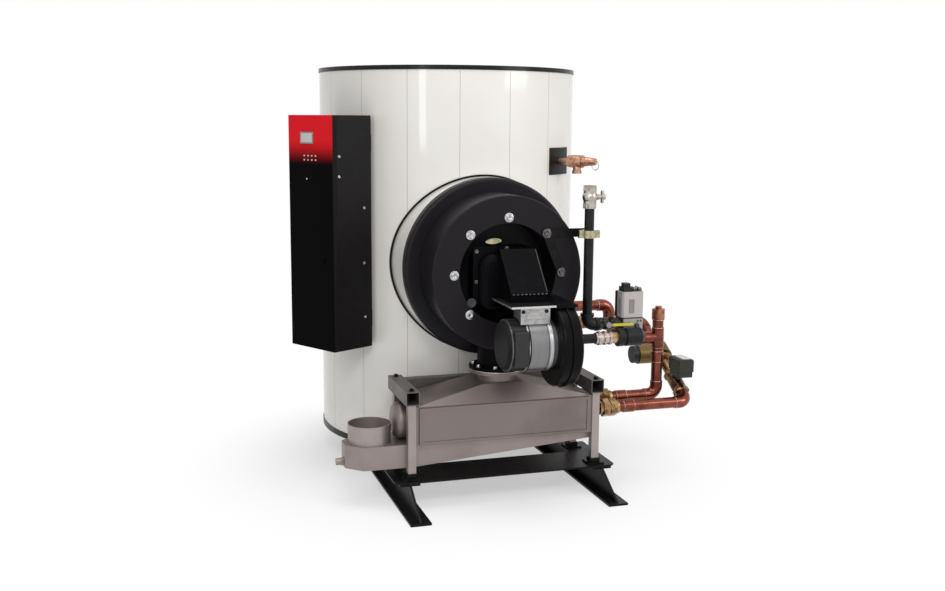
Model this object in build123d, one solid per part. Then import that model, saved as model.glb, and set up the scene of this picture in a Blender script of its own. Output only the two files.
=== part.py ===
from build123d import *
import math
import os

# Commercial gas water heater on a steel skid. Millimetres, +Z up.
# Origin: the tank's axis where it meets the floor. The burner faces -Y.
# Pieces ahead of the tank take their places from the jacket's front, one after the other.

# General fits
FIT = 0.3                    # clearance of a piece that passes through a hole
OVERRUN = 20.0               # how far a cutting tool runs past the face it cuts

# Tank
JACKET_R = 505.0
JACKET_WALL = 8.0
RIM_PROUD = 3.0
RIM_WALL = 14.0
TOP_RIM_HEIGHT = 16.0
BOTTOM_RIM_HEIGHT = 22.0
TANK_TOP_Z = 1524.0
COVER_THICKNESS = 6.0
COVER_DROP = 4.0

# Skid
SKID_HEIGHT = 96.0
SKID_FLANGE_WIDTH = 72.0
SKID_FLANGE_THICKNESS = 8.0
SKID_WEB = 8.0
SKID_HALF_TRACK = 356.0
SKID_REACH = 461.0           # of the toes ahead of the jacket
SKID_REAR_INSET = 25.0       # of the runners' ends inside the jacket's back
SKID_TOE = 6.0
PLATE_REACH = 310.0          # of the deck plate ahead of the jacket
PLATE_HALF_WIDTH = 408.0
PLATE_STRIP = 190.0          # depth of its front strip, ahead of the opening
PLATE_OPENING_HALF = 305.0
PLATE_THICKNESS = 6.0
PLATE_CORNER = 14.0
PLATE_TANK_GAP = 3.0
TIE_INSET = 105.0            # of the rear tie inside the jacket's back
TIE_LEG = 60.0
TIE_WALL = 8.0

# Burner drum on the tank's front
DRUM_Z = 808.0
COLLAR_R = 320.0
COLLAR_WALL = 8.0
COLLAR_PROUD = 53.0
COLLAR_TUCK = 48.0           # how far the collar reaches in past the edge of its hole
COLLAR_TRIM_WIDTH = 7.0
COLLAR_TRIM_PROUD = 4.0
DRUM_FLANGE_THICKNESS = 47.0
DRUM_FLANGE_FILLET = 12.0
DRUM_R = 270.0
DRUM_LENGTH = 181.0
DRUM_FILLET = 5.0
DRUM_RECESS_R = 175.0
DRUM_RECESS_DEPTH = 130.0

# Burner inlet duct and hood in the drum's recess
INLET_X = -58.0
INLET_WIDTH = 95.0
INLET_DROP = 128.0           # of its lower end below the drum's axis
INLET_RISE = 74.0            # of its upper end above the drum's axis
INLET_PROUD = 20.0           # of the drum's face
INLET_FILLET = 30.0
INLET_FLANGE_LEFT_X = -124.0
INLET_FLANGE_RIGHT_X = 10.0
INLET_FLANGE_DROP = 104.0    # of its lower edge below the drum's axis
INLET_FLANGE_RISE = 96.0     # of its upper edge above the drum's axis
INLET_FLANGE_CORNER = 14.0
INLET_FLANGE_THICKNESS = 12.0
INLET_FLANGE_DEPTH = 22.0    # from the drum's face in to the flange
HOOD_LEFT_X = -37.0
HOOD_RIGHT_X = 93.0
HOOD_RISE = 87.0             # of the hood's top above the drum's axis
HOOD_BROW_PROUD = 14.0       # of the drum's face, where the slope starts
HOOD_PROUD = 139.0           # of the drum's face, at the lip
HOOD_LIP_DROP = 49.0         # of the lip below the drum's axis
HOOD_LIP_THICKNESS = 4.0
HOOD_LIP_PROUD = 5.0

# Blower
BLOWER_AHEAD = 156.0         # of the drum's face
BLOWER_DROP = 217.0          # of the blower's axis below the drum's
SCROLL_R = 146.0             # at the mouth of the spiral
SCROLL_STEP = 4.0            # by which the spiral shrinks each quarter turn
SCROLL_LEFT_X = 94.0
SCROLL_WIDTH = 71.0
SCROLL_EDGE_FILLET = 10.0
SCROLL_SEAM_PROUD = 5.0
SCROLL_SEAM_WIDTH = 7.0
NECK_FRONT = 53.0            # of the neck's front ahead of the blower's axis
NECK_FLANGE = 9.0
NECK_FLANGE_THICKNESS = 9.0
OUTLET_DROP = 86.0           # of the outlet plate below the drum's axis
OUTLET_PLATE_THICKNESS = 7.0
OUTLET_PLATE_FRONT = 62.0    # of the plate's front ahead of the blower's axis
OUTLET_PLATE_GAP = 2.0       # to the inlet duct behind it
OUTLET_PLATE_LEFT_X = -62.0
HANGER_LEFT_X = -27.0
HANGER_RIGHT_X = 76.0
HANGER_FRONT = 52.0
HANGER_REAR = 20.0
BLOWER_INLET_R = 72.0
BLOWER_INLET_LENGTH = 16.0

# Motor on the blower's left side
MOTOR_R = 84.0
MOTOR_LEFT_X = -62.0
BAND_LEFT_X = -9.0
BAND_R = 92.0
BAND_EDGE = 5.0
BAND_GROOVES = 3
BAND_GROOVE_WIDTH = 2.5
BAND_GROOVE_DEPTH = 3.0
BAND_GROOVE_PITCH = 6.0
THROAT_LEFT_X = 77.0
THROAT_R = 78.0
THROAT_GAP = 3.0
MOTOR_RIBS = 14
MOTOR_RIB_HEIGHT = 5.0
MOTOR_RIB_WIDTH = 6.0
TERMINAL_BOX_TALL = 118.0
TERMINAL_BOX_PROUD = 8.0
TERMINAL_BOX_MARGIN = 4.0
TERMINAL_BOX_FILLET = 4.0
CAP_LEFT_X = -78.0
CAP_R = 82.0
CAP_FILLET = 11.0
CAP_RIM_R = 88.0
CAP_RIM_WIDTH = 4.0

# Flue pipe from the drum down to the heat exchanger
FLUE_AHEAD = 66.0            # of the drum's flange
FLUE_R = 70.0
FLUE_FLANGE_R = 100.0
FLUE_FLANGE_THICKNESS = 12.0
FLUE_FLANGE_Z = 443.0

# Heat exchanger
HX_HALF_WIDTH = 327.0
HX_DEPTH = 218.0
HX_BOTTOM_Z = 219.0
HX_HEIGHT = 137.0
HX_PANEL_INSET = 12.0
HX_PANEL_MARGIN = 4.0
HX_PANEL_PROUD = 5.0
HX_FRAME_WIDTH = 9.0
HX_FRAME_PROUD = 3.0
ROOF_RISE = 59.0
ROOF_TOP_HALF = 78.0
BONNET_R = 66.0
BONNET_LENGTH = 58.0
BONNET_FILLET = 24.0

# Condensate pan and exhaust outlet
PAN_WIDTH = 170.0
PAN_REACH = 233.0            # of the exhaust box past the exchanger's left end
PAN_CHAMFER = 55.0
PAN_LOW_DEPTH = 82.0
PAN_HIGH_DEPTH = 27.0
PAN_SLOPE_REACH = 3.0        # of the low end of the slope past the exchanger's left end
EXHAUST_INSET = 93.0        # of the collar's axis from the exhaust box's end
EXHAUST_R = 76.0
EXHAUST_WALL = 3.0
EXHAUST_HEIGHT = 66.0
EXHAUST_STEP = 1.5
EXHAUST_SLEEVE = 26.0
DRAIN_R = 12.0
DRAIN_LENGTH = 26.0
DRAIN_RISE = 16.0            # above the pan's lowest face
DRAIN_NUT_R = 15.0
DRAIN_NUT_LENGTH = 9.0

# Stand under the heat exchanger
POST_SIZE = 28.0
POST_FRONT = 99.0            # of the front posts ahead of the flue's axis
POST_REAR = 111.0            # of the rear posts behind the flue's axis
FOOT_SIZE = 60.0
FOOT_THICKNESS = 6.0
FOOT_SOCKET_WALL = 4.0
FOOT_SOCKET_HEIGHT = 14.0
BAR_SIZE = 48.0
BAR_WALL = 3.0
CROSSBAR_SIZE = 38.0
BAR_GAP = 10.0               # over the exchanger's top
BAR_FRONT = 26.0             # of the bars' front ends ahead of the front posts
BAR_REAR = 38.0              # of the bars' rear ends behind the rear posts

# Control cabinet on the tank's left side
CABINET_ANGLE = 60.0         # degrees from the front (-Y) towards the left (-X)
CABINET_STANDOFF = 15.0
CABINET_WIDTH = 245.0
CABINET_DEPTH = 182.0
CABINET_BOTTOM_Z = 494.0
CABINET_HEIGHT = 850.0
CABINET_WALL = 3.0
CABINET_LIP = 9.0
DOOR_THICKNESS = 20.0
DOOR_GAP = FIT
HINGE_R = 6.0
HINGE_OFFSET = 7.0           # from the cabinet's left face out to the hinge axis
HINGE_LENGTH = 34.0
HINGE_PIN_R = 3.0
HINGE_LEAF = 5.0
HINGE_SHARES = (0.12, 0.5, 0.88)
LOCK_R = 9.0
LOCK_PROUD = 3.0
LOCK_INSET = 58.0            # from the door's free edge
LOCK_SHARE = 0.385           # of the door's height
RAIL_HEIGHT = 60.0
RAIL_MARGIN = 70.0
RAIL_INSET = 25.0

# Gas train
GAS_R = 16.7
RISER_X = 270.0
RISER_AHEAD = 64.0           # of the drum's face
RISER_BOTTOM_Z = 629.0
RISER_TOP_Z = 1034.0
COCK_HEIGHT = 78.0
COCK_R = 22.0
COCK_BALL_R = 26.0
COCK_HEX_R = 25.0
COCK_HEX_HEIGHT = 18.0
STEM_R = 6.0
STEM_LENGTH = 16.0
STEM_COLLAR_R = 10.0
STEM_COLLAR_LENGTH = 8.0
TEE_HANDLE_LENGTH = 44.0
TEE_HANDLE_WIDTH = 13.0
TEE_HANDLE_THICKNESS = 7.0
IRON_ELBOW_R = 21.0
IRON_ELBOW_BEND = 26.0
IRON_ELBOW_REACH = 40.0
IRON_BEAD_R = 24.0
IRON_BEAD_LENGTH = 11.0
BALL_R = 22.0
BALL_LENGTH = 58.0
BALL_HEX_R = 23.0
BALL_HEX_LENGTH = 14.0
LEVER_LENGTH = 88.0
LEVER_WIDTH = 9.0
LEVER_THICKNESS = 5.0
LEVER_HUB_R = 10.0
VALVE_LEFT_X = 393.0
VALVE_WIDTH = 81.0
VALVE_FRONT = 23.0           # of the valve's front ahead of the riser
VALVE_REAR = 39.0           # of the valve's back behind the riser
VALVE_DROP = 36.0            # of the body's underside below the lower pipe
VALVE_BODY_HEIGHT = 53.0
VALVE_HEIGHT = 148.0
VALVE_EDGE = 6.0
PLUG_WIDTH = 34.0
PLUG_DEPTH = 40.0
PLUG_HEIGHT = 16.0
PLUG_TOP_WIDTH = 22.0
PLUG_TOP_HEIGHT = 13.0
PLUG_INSET = 5.0
REGULATOR_AHEAD = 43.0       # of the riser
REGULATOR_DROP = 42.0        # below the lower pipe
REGULATOR_R = 32.0
REGULATOR_LEFT_X = 365.0
REGULATOR_LENGTH = 100.0
REGULATOR_FLANGE_WIDTH = 20.0
REGULATOR_WAIST_R = 27.0
REGULATOR_WAIST_WIDTH = 10.0
REGULATOR_DOME = 14.0
COUPLING_R = 24.0
COUPLING_LENGTH = 82.0
COUPLING_RIBS = 3
COUPLING_RIB_PITCH = 20.0
COUPLING_RIB_WIDTH = 9.0
COUPLING_WAIST_R = 20.5

# Bracket that ties the gas riser to the drum
ARM_HEIGHT = 30.0
ARM_THICKNESS = 6.0
BOLT_CIRCLE_R = 194.0
CLAMP_WALL = 5.0
CLAMP_HEIGHT = 26.0
CLAMP_EAR = 16.0
CLAMP_EAR_THICKNESS = 12.0
CLAMP_POST = 11.0

# Relief valve on the tank's right shoulder
RELIEF_ANGLE = 43.0          # degrees from the front (-Y) towards the right (+X)
RELIEF_RISE = 49.0           # above the collar
RELIEF_PLATE_WIDTH = 150.0
RELIEF_PLATE_HEIGHT = 102.0
RELIEF_PLATE_THICKNESS = 4.0
RELIEF_NIPPLE_R = 13.0
RELIEF_NIPPLE_LENGTH = 38.0
RELIEF_HEX_R = 22.0
RELIEF_HEX_LENGTH = 14.0
RELIEF_BODY_R = 24.0
RELIEF_BODY_LENGTH = 48.0
RELIEF_BONNET_R = 19.0
RELIEF_BONNET_END_R = 13.0
RELIEF_BONNET_LENGTH = 54.0
RELIEF_OUTLET_R = 15.0
RELIEF_OUTLET_DROP = 46.0
RELIEF_OUTLET_RIM_R = 18.0
RELIEF_OUTLET_RIM = 12.0
RELIEF_OUTLET_BORE_R = 11.0

# Copper water circuit on the right
COPPER_R = 20.6
ELBOW_BEND = 34.0
FITTING_R = 23.2
SOCKET = 17.0                # of an elbow past its bend
SLEEVE_HALF = 20.0
TEE_HALF = 38.0
SUPPLY_REACH = 418.0         # of the supply's far leg past the exchanger's right end
SUPPLY_TANK_ANGLE = 53.5     # degrees from the front (-Y) towards the right (+X)
SUPPLY_TANK_Z = 525.0
SUPPLY_FRONT = 38.0          # of its union ahead of the flue's axis
SUPPLY_HX_Z = 286.0
RETURN_REACH = 323.0         # of the return's riser past the exchanger's right end
RETURN_REAR = 31.0           # of its union behind the flue's axis
RETURN_HX_Z = 306.0
RETURN_TEE_Z = 524.0
RETURN_BRANCH_REACH = 233.0  # of the branch's leg past the exchanger's right end
RETURN_SLEEVE_Z = 452.0
RETURN_TOP_Z = 594.0
RETURN_TANK_ANGLE = 39.4     # degrees from the front (-Y) towards the right (+X)
RETURN_TANK_Z = 613.0
TANK_NUT_R = 31.0
TANK_NUT_LENGTH = 30.0
TANK_NUT_GAP = 40.0          # from the jacket along the pipe
VENT_R = 24.0
VENT_HEIGHT = 40.0
VENT_NECK_R = 12.0
VENT_NECK_HEIGHT = 10.0
UNION_LENGTH = 76.0
UNION_TAIL_R = 25.0
UNION_TAIL_LENGTH = 12.0
UNION_NUT_R = 34.0
UNION_NUT_LENGTH = 24.0
PUMP_SHARE = 0.58            # place of the pump along the sloping supply run, from its low end
PUMP_R = 42.0
PUMP_LENGTH = 96.0
PUMP_FLANGE_R = 36.0
PUMP_FLANGE_WIDTH = 11.0
PUMP_NECK_R = 26.0
PUMP_NECK_LENGTH = 10.0
PUMP_MOTOR_R = 38.0
PUMP_MOTOR_LENGTH = 78.0
PUMP_CAP_R = 34.0
PUMP_CAP_LENGTH = 22.0
SWITCH_SHARE = 0.19          # place of the flow switch along the same run
SWITCH_WIDTH = 58.0
SWITCH_DEPTH = 90.0
SWITCH_HEIGHT = 70.0
SWITCH_CHAMFER = 6.0
SWITCH_AHEAD = 25.0          # of the box's middle ahead of its stem
SWITCH_BASE_SHARE = 0.3      # of the box's height that is its base
SWITCH_BASE_INSET = 3.0
SWITCH_STEM_R = 14.0
SWITCH_STEM_LENGTH = 20.0

# Water nozzles at the tank's back
NOZZLE_R = 38.0
NOZZLE_BORE_R = 31.0
NOZZLE_PROUD = 60.0
NOZZLE_BAND_R = 42.0
NOZZLE_BAND = 18.0
COLD_NOZZLE_RISE = 154.0     # above the skid
HOT_NOZZLE_DROP = 144.0      # below the tank's top

# Derived places
RIM_R = JACKET_R + RIM_PROUD
PLATE_TOP_Z = SKID_HEIGHT + PLATE_THICKNESS
PLATE_FRONT_Y = -JACKET_R - PLATE_REACH
SKID_FRONT_Y = -JACKET_R - SKID_REACH
SKID_REAR_Y = JACKET_R - SKID_REAR_INSET
COLLAR_FRONT_Y = -JACKET_R - COLLAR_PROUD
DRUM_BACK_Y = COLLAR_FRONT_Y - DRUM_FLANGE_THICKNESS
DRUM_FRONT_Y = DRUM_BACK_Y - DRUM_LENGTH
RECESS_Y = DRUM_FRONT_Y + DRUM_RECESS_DEPTH
INLET_FRONT_Y = DRUM_FRONT_Y - INLET_PROUD
BLOWER_Y = DRUM_FRONT_Y - BLOWER_AHEAD
BLOWER_Z = DRUM_Z - BLOWER_DROP
SCROLL_RIGHT_X = SCROLL_LEFT_X + SCROLL_WIDTH
OUTLET_Z = DRUM_Z - OUTLET_DROP
OUTLET_TOP_Z = OUTLET_Z + OUTLET_PLATE_THICKNESS
OUTLET_PLATE_REAR_Y = INLET_FRONT_Y - OUTLET_PLATE_GAP
FLUE_Y = DRUM_BACK_Y - FLUE_AHEAD
HX_TOP_Z = HX_BOTTOM_Z + HX_HEIGHT
HX_FRONT_Y = FLUE_Y - HX_DEPTH / 2
HX_REAR_Y = FLUE_Y + HX_DEPTH / 2
ROOF_TOP_Z = HX_TOP_Z + ROOF_RISE
PAN_LEFT_X = -HX_HALF_WIDTH - PAN_REACH
PAN_LOW_Z = HX_BOTTOM_Z - PAN_LOW_DEPTH
PAN_HIGH_Z = HX_BOTTOM_Z - PAN_HIGH_DEPTH
EXHAUST_X = PAN_LEFT_X + EXHAUST_INSET
POST_X = HX_HALF_WIDTH + POST_SIZE / 2
POST_FRONT_Y = FLUE_Y - POST_FRONT
POST_REAR_Y = FLUE_Y + POST_REAR
BAR_BOTTOM_Z = HX_TOP_Z + BAR_GAP
BAR_FRONT_Y = POST_FRONT_Y - BAR_FRONT
BAR_REAR_Y = POST_REAR_Y + BAR_REAR
CABINET_TOP_Z = CABINET_BOTTOM_Z + CABINET_HEIGHT
CABINET_BACK_Y = -JACKET_R - CABINET_STANDOFF
DOOR_FRONT_Y = CABINET_BACK_Y - CABINET_DEPTH
DOOR_BACK_Y = DOOR_FRONT_Y + DOOR_THICKNESS
CABINET_FRONT_Y = DOOR_BACK_Y + DOOR_GAP
HINGE_X = -CABINET_WIDTH / 2 - HINGE_OFFSET
RISER_Y = DRUM_FRONT_Y - RISER_AHEAD
BALL_X = RISER_X + IRON_ELBOW_REACH + BALL_LENGTH / 2
VALVE_RIGHT_X = VALVE_LEFT_X + VALVE_WIDTH
VALVE_FRONT_Y = RISER_Y - VALVE_FRONT
VALVE_REAR_Y = RISER_Y + VALVE_REAR
VALVE_BOTTOM_Z = RISER_BOTTOM_Z - VALVE_DROP
VALVE_SPLIT_Z = VALVE_BOTTOM_Z + VALVE_BODY_HEIGHT
VALVE_TOP_Z = VALVE_BOTTOM_Z + VALVE_HEIGHT
REGULATOR_Y = RISER_Y - REGULATOR_AHEAD
REGULATOR_Z = RISER_BOTTOM_Z - REGULATOR_DROP
RELIEF_Z = DRUM_Z + COLLAR_R + RELIEF_RISE
UNION_X = HX_HALF_WIDTH + BONNET_LENGTH
SUPPLY_X = HX_HALF_WIDTH + SUPPLY_REACH
SUPPLY_TANK_X = JACKET_R * math.sin(math.radians(SUPPLY_TANK_ANGLE))
SUPPLY_TANK_Y = -JACKET_R * math.cos(math.radians(SUPPLY_TANK_ANGLE))
SUPPLY_HX_Y = FLUE_Y - SUPPLY_FRONT
RETURN_X = HX_HALF_WIDTH + RETURN_REACH
RETURN_HX_Y = FLUE_Y + RETURN_REAR
RETURN_BRANCH_X = HX_HALF_WIDTH + RETURN_BRANCH_REACH
RETURN_TANK_X = JACKET_R * math.sin(math.radians(RETURN_TANK_ANGLE))
RETURN_TANK_Y = -JACKET_R * math.cos(math.radians(RETURN_TANK_ANGLE))
COLD_NOZZLE_Z = SKID_HEIGHT + COLD_NOZZLE_RISE
HOT_NOZZLE_Z = TANK_TOP_Z - HOT_NOZZLE_DROP


# Shape helpers
def block(x0, x1, y0, y1, z0, z1):
    """A box between two corners."""
    size = Box(x1 - x0, y1 - y0, z1 - z0)
    return Pos((x0 + x1) / 2, (y0 + y1) / 2, (z0 + z1) / 2) * size


def rod(start, end, radius):
    """A round bar between two points."""
    start = Vector(*start)
    axis = Vector(*end) - start
    return extrude(Plane(start, z_dir=axis) * Circle(radius), axis.length)


def hex_bar(start, axis, length, radius):
    """A hexagonal bar, its radius measured over the corners."""
    return extrude(Plane(Vector(*start), z_dir=Vector(*axis)) * RegularPolygon(radius, 6), length)


def turned(start, axis, outline):
    """A turned piece whose outline is pairs of a distance along the axis and a radius there."""
    start = Vector(*start)
    axis = Vector(*axis).normalized()
    across = Vector(0, 0, 1) if abs(axis.Z) < abs(axis.X) + abs(axis.Y) else Vector(1, 0, 0)
    plane = Plane(start, x_dir=axis, z_dir=axis.cross(across))
    profile = make_face(Polyline((outline[0][0], 0), *outline, (outline[-1][0], 0), close=True))
    return revolve(plane * profile, Axis(start, axis), 360)


def bent_pipe(points, radius, bend):
    """A round pipe along straight runs with rounded corners."""
    path = FilletPolyline(*points, radius=bend)
    return sweep(Plane(path @ 0, z_dir=path % 0) * Circle(radius), path=path)


def copper_run(points):
    """Copper pipe along straight runs, with a socketed elbow at each corner."""
    points = [Vector(*point) for point in points]
    pipe = bent_pipe(points, COPPER_R, ELBOW_BEND)
    for before, corner, after in zip(points, points[1:], points[2:]):
        ends = []
        for neighbour in (before, after):
            way = neighbour - corner
            turn = math.radians((before - corner).get_angle(after - corner))
            ends.append(corner + way.normalized() * (ELBOW_BEND / math.tan(turn / 2) + SOCKET))
        pipe += bent_pipe([ends[0], corner, ends[1]], FITTING_R, ELBOW_BEND)
    return pipe


def sleeve(centre, axis, half):
    """A coupling over a copper pipe."""
    centre = Vector(*centre)
    step = Vector(*axis).normalized() * half
    return rod(tuple(centre - step), tuple(centre + step), FITTING_R)


def flat_bar(start, end, width):
    """A flat bar with round ends between two points of the drum's face, given as (X, Z)."""
    run = math.hypot(end[0] - start[0], end[1] - start[1])
    angle = math.degrees(math.atan2(end[1] - start[1], end[0] - start[0]))
    outline = Plane.XZ * SlotCenterToCenter(run, width, rotation=angle)
    outline = Pos((start[0] + end[0]) / 2, DRUM_FRONT_Y, (start[1] + end[1]) / 2) * outline
    return extrude(outline, ARM_THICKNESS)


def on_tank(angle):
    """A frame on the tank's axis whose -Y looks out at an angle from the front."""
    return Rot(0, 0, angle)


def save(name, shape):
    shape.label = name
    export_step(shape, os.path.join("parts", name + ".step"))


# Skid
def skid_runner(side):
    """An I-beam runner whose front end is cut on a slope down to a thin toe."""
    x = side * SKID_HALF_TRACK
    half = SKID_FLANGE_WIDTH / 2
    beam = block(x - half, x + half, SKID_FRONT_Y, SKID_REAR_Y, 0, SKID_FLANGE_THICKNESS)
    beam += block(x - SKID_WEB / 2, x + SKID_WEB / 2, SKID_FRONT_Y, SKID_REAR_Y, 0, SKID_HEIGHT)
    beam += block(x - half, x + half, PLATE_FRONT_Y, SKID_REAR_Y,
                  SKID_HEIGHT - SKID_FLANGE_THICKNESS, SKID_HEIGHT)
    toe = SKID_FLANGE_THICKNESS
    slope = Plane.YZ * make_face(Polyline(
        (SKID_FRONT_Y - OVERRUN, toe), (SKID_FRONT_Y + SKID_TOE, toe), (PLATE_FRONT_Y, SKID_HEIGHT),
        (PLATE_FRONT_Y, SKID_HEIGHT + OVERRUN), (SKID_FRONT_Y - OVERRUN, SKID_HEIGHT + OVERRUN),
        close=True))
    return beam - Pos(x - half, 0, 0) * extrude(slope, SKID_FLANGE_WIDTH)


def skid_plate():
    """The deck plate across the runners in front of the tank, open behind its front strip."""
    rear = -RIM_R - PLATE_TANK_GAP
    plate = block(-PLATE_HALF_WIDTH, PLATE_HALF_WIDTH, PLATE_FRONT_Y, rear, SKID_HEIGHT, PLATE_TOP_Z)
    plate = chamfer(plate.edges().filter_by(Axis.Z).group_by(Axis.Y)[0], PLATE_CORNER)
    return plate - block(-PLATE_OPENING_HALF, PLATE_OPENING_HALF, PLATE_FRONT_Y + PLATE_STRIP, rear + OVERRUN,
                         SKID_HEIGHT - OVERRUN, PLATE_TOP_Z + OVERRUN)


def skid_tie():
    """The angle that ties the runners together under the back of the tank."""
    reach = SKID_HALF_TRACK - SKID_WEB / 2
    low = SKID_FLANGE_THICKNESS
    y = JACKET_R - TIE_INSET
    tie = block(-reach, reach, y, y + TIE_WALL, low, low + TIE_LEG)
    return tie + block(-reach, reach, y, y + TIE_LEG, low, low + TIE_WALL)


# Tank
def jacket():
    """The jacket shell, with holes for the burner collar and the pipes."""
    low = SKID_HEIGHT + BOTTOM_RIM_HEIGHT
    high = TANK_TOP_Z - TOP_RIM_HEIGHT
    shell = rod((0, 0, low), (0, 0, high), JACKET_R)
    shell -= rod((0, 0, low - OVERRUN), (0, 0, high + OVERRUN), JACKET_R - JACKET_WALL)
    shell -= rod((0, -JACKET_R - OVERRUN, DRUM_Z), (0, 0, DRUM_Z), COLLAR_R + FIT)
    shell -= rod((0, SUPPLY_TANK_Y, SUPPLY_TANK_Z), (SUPPLY_X, SUPPLY_TANK_Y, SUPPLY_TANK_Z),
                 COPPER_R + FIT)
    shell -= rod((0, RETURN_TANK_Y, RETURN_TANK_Z), (RETURN_X, RETURN_TANK_Y, RETURN_TANK_Z),
                 COPPER_R + FIT)
    shell -= on_tank(RELIEF_ANGLE) * rod((0, -JACKET_R - OVERRUN, RELIEF_Z), (0, 0, RELIEF_Z),
                                         RELIEF_NIPPLE_R + FIT)
    for z in (COLD_NOZZLE_Z, HOT_NOZZLE_Z):
        shell -= rod((0, 0, z), (0, JACKET_R + OVERRUN, z), NOZZLE_R + FIT)
    return shell


def rim(z0, z1):
    """A band that closes one end of the jacket."""
    band = rod((0, 0, z0), (0, 0, z1), RIM_R)
    return band - rod((0, 0, z0 - OVERRUN), (0, 0, z1 + OVERRUN), RIM_R - RIM_WALL)


def top_cover():
    top = TANK_TOP_Z - COVER_DROP
    return rod((0, 0, top - COVER_THICKNESS), (0, 0, top), RIM_R - RIM_WALL - FIT)


def tank_floor():
    return rod((0, 0, SKID_HEIGHT), (0, 0, SKID_HEIGHT + COVER_THICKNESS), RIM_R - RIM_WALL - FIT)


def nozzle(z):
    """A water connection at the back: a short pipe with a band round its mouth and an open bore."""
    inner = JACKET_R - JACKET_WALL - OVERRUN
    outer = JACKET_R + NOZZLE_PROUD
    pipe = rod((0, inner, z), (0, outer, z), NOZZLE_R)
    pipe += rod((0, outer - NOZZLE_BAND, z), (0, outer, z), NOZZLE_BAND_R)
    return pipe - rod((0, inner + OVERRUN, z), (0, outer + OVERRUN, z), NOZZLE_BORE_R)


# Burner drum
def burner_collar():
    """The sleeve that carries the drum, tucked in past the edge of the jacket's hole."""
    back = COLLAR_TUCK - math.sqrt(JACKET_R ** 2 - COLLAR_R ** 2)
    tube = rod((0, COLLAR_FRONT_Y, DRUM_Z), (0, back, DRUM_Z), COLLAR_R)
    return tube - rod((0, COLLAR_FRONT_Y - OVERRUN, DRUM_Z), (0, back + OVERRUN, DRUM_Z),
                      COLLAR_R - COLLAR_WALL)


def collar_trim():
    """The dark bead where the collar leaves the jacket."""
    hoop = rod((0, -JACKET_R - OVERRUN, DRUM_Z), (0, 0, DRUM_Z), COLLAR_R + COLLAR_TRIM_WIDTH)
    hoop -= rod((0, -JACKET_R - 2 * OVERRUN, DRUM_Z), (0, OVERRUN, DRUM_Z), COLLAR_R + FIT)
    skin = rod((0, 0, 0), (0, 0, TANK_TOP_Z), JACKET_R + COLLAR_TRIM_PROUD)
    skin -= rod((0, 0, -OVERRUN), (0, 0, TANK_TOP_Z + OVERRUN), JACKET_R + FIT)
    return hoop & skin


def drum_flange():
    disc = rod((0, COLLAR_FRONT_Y, DRUM_Z), (0, DRUM_BACK_Y, DRUM_Z), COLLAR_R)
    return fillet(disc.edges().sort_by(Axis.Y)[0], DRUM_FLANGE_FILLET)


def drum():
    """The burner drum with a round recess in its face."""
    can = rod((0, DRUM_BACK_Y, DRUM_Z), (0, DRUM_FRONT_Y, DRUM_Z), DRUM_R)
    can = fillet(can.edges().sort_by(Axis.Y)[0], DRUM_FILLET)
    return can - rod((0, RECESS_Y, DRUM_Z), (0, DRUM_FRONT_Y - OVERRUN, DRUM_Z), DRUM_RECESS_R)


def inlet_outline():
    """The duct's upright slot outline at the back of the recess."""
    face = Plane.XZ * SlotOverall(INLET_RISE + INLET_DROP, INLET_WIDTH, rotation=90)
    return Pos(INLET_X, RECESS_Y, DRUM_Z + (INLET_RISE - INLET_DROP) / 2) * face


def inlet_flange():
    """The rounded plate that bolts the duct to the drum."""
    face = Plane.XZ * RectangleRounded(INLET_FLANGE_RIGHT_X - INLET_FLANGE_LEFT_X,
                                       INLET_FLANGE_RISE + INLET_FLANGE_DROP, INLET_FLANGE_CORNER)
    place = Pos((INLET_FLANGE_LEFT_X + INLET_FLANGE_RIGHT_X) / 2, DRUM_FRONT_Y + INLET_FLANGE_DEPTH,
                DRUM_Z + (INLET_FLANGE_RISE - INLET_FLANGE_DROP) / 2)
    return extrude(place * face, INLET_FLANGE_THICKNESS)


def burner_inlet():
    """The upright rounded duct in the recess, with its bolting flange, cut away for the hood."""
    duct = extrude(inlet_outline(), RECESS_Y - INLET_FRONT_Y)
    duct = fillet(duct.faces().sort_by(Axis.Y)[0].edges(), INLET_FILLET)
    duct += inlet_flange()
    return duct - block(HOOD_LEFT_X, HOOD_RIGHT_X, DRUM_FRONT_Y - HOOD_PROUD, RECESS_Y, OUTLET_TOP_Z,
                        DRUM_Z + HOOD_RISE)


def burner_hood():
    """The sheet hood that carries the air from the blower up into the burner."""
    top = DRUM_Z + HOOD_RISE
    front = DRUM_FRONT_Y - HOOD_PROUD
    lip = DRUM_Z - HOOD_LIP_DROP
    side = Plane.YZ * make_face(Polyline(
        (RECESS_Y, top), (DRUM_FRONT_Y - HOOD_BROW_PROUD, top), (front, lip), (front, OUTLET_TOP_Z),
        (RECESS_Y, OUTLET_TOP_Z), close=True))
    hood = Pos(HOOD_LEFT_X, 0, 0) * extrude(side, HOOD_RIGHT_X - HOOD_LEFT_X)
    return hood + block(HOOD_LEFT_X, HOOD_RIGHT_X, front - HOOD_LIP_PROUD, front,
                        lip - HOOD_LIP_THICKNESS, lip)


# Blower
def outlet_plate():
    """The plate between blower and hood, with the saddle that steadies the motor."""
    plate = block(OUTLET_PLATE_LEFT_X, SCROLL_LEFT_X, BLOWER_Y - OUTLET_PLATE_FRONT, OUTLET_PLATE_REAR_Y,
                  OUTLET_Z, OUTLET_TOP_Z)
    saddle = block(HANGER_LEFT_X, HANGER_RIGHT_X, BLOWER_Y - HANGER_FRONT, BLOWER_Y + HANGER_REAR,
                   BLOWER_Z, OUTLET_Z)
    saddle -= rod((HANGER_LEFT_X - OVERRUN, BLOWER_Y, BLOWER_Z), (HANGER_RIGHT_X + OVERRUN, BLOWER_Y, BLOWER_Z),
                  BAND_R + FIT)
    return plate + saddle


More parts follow.
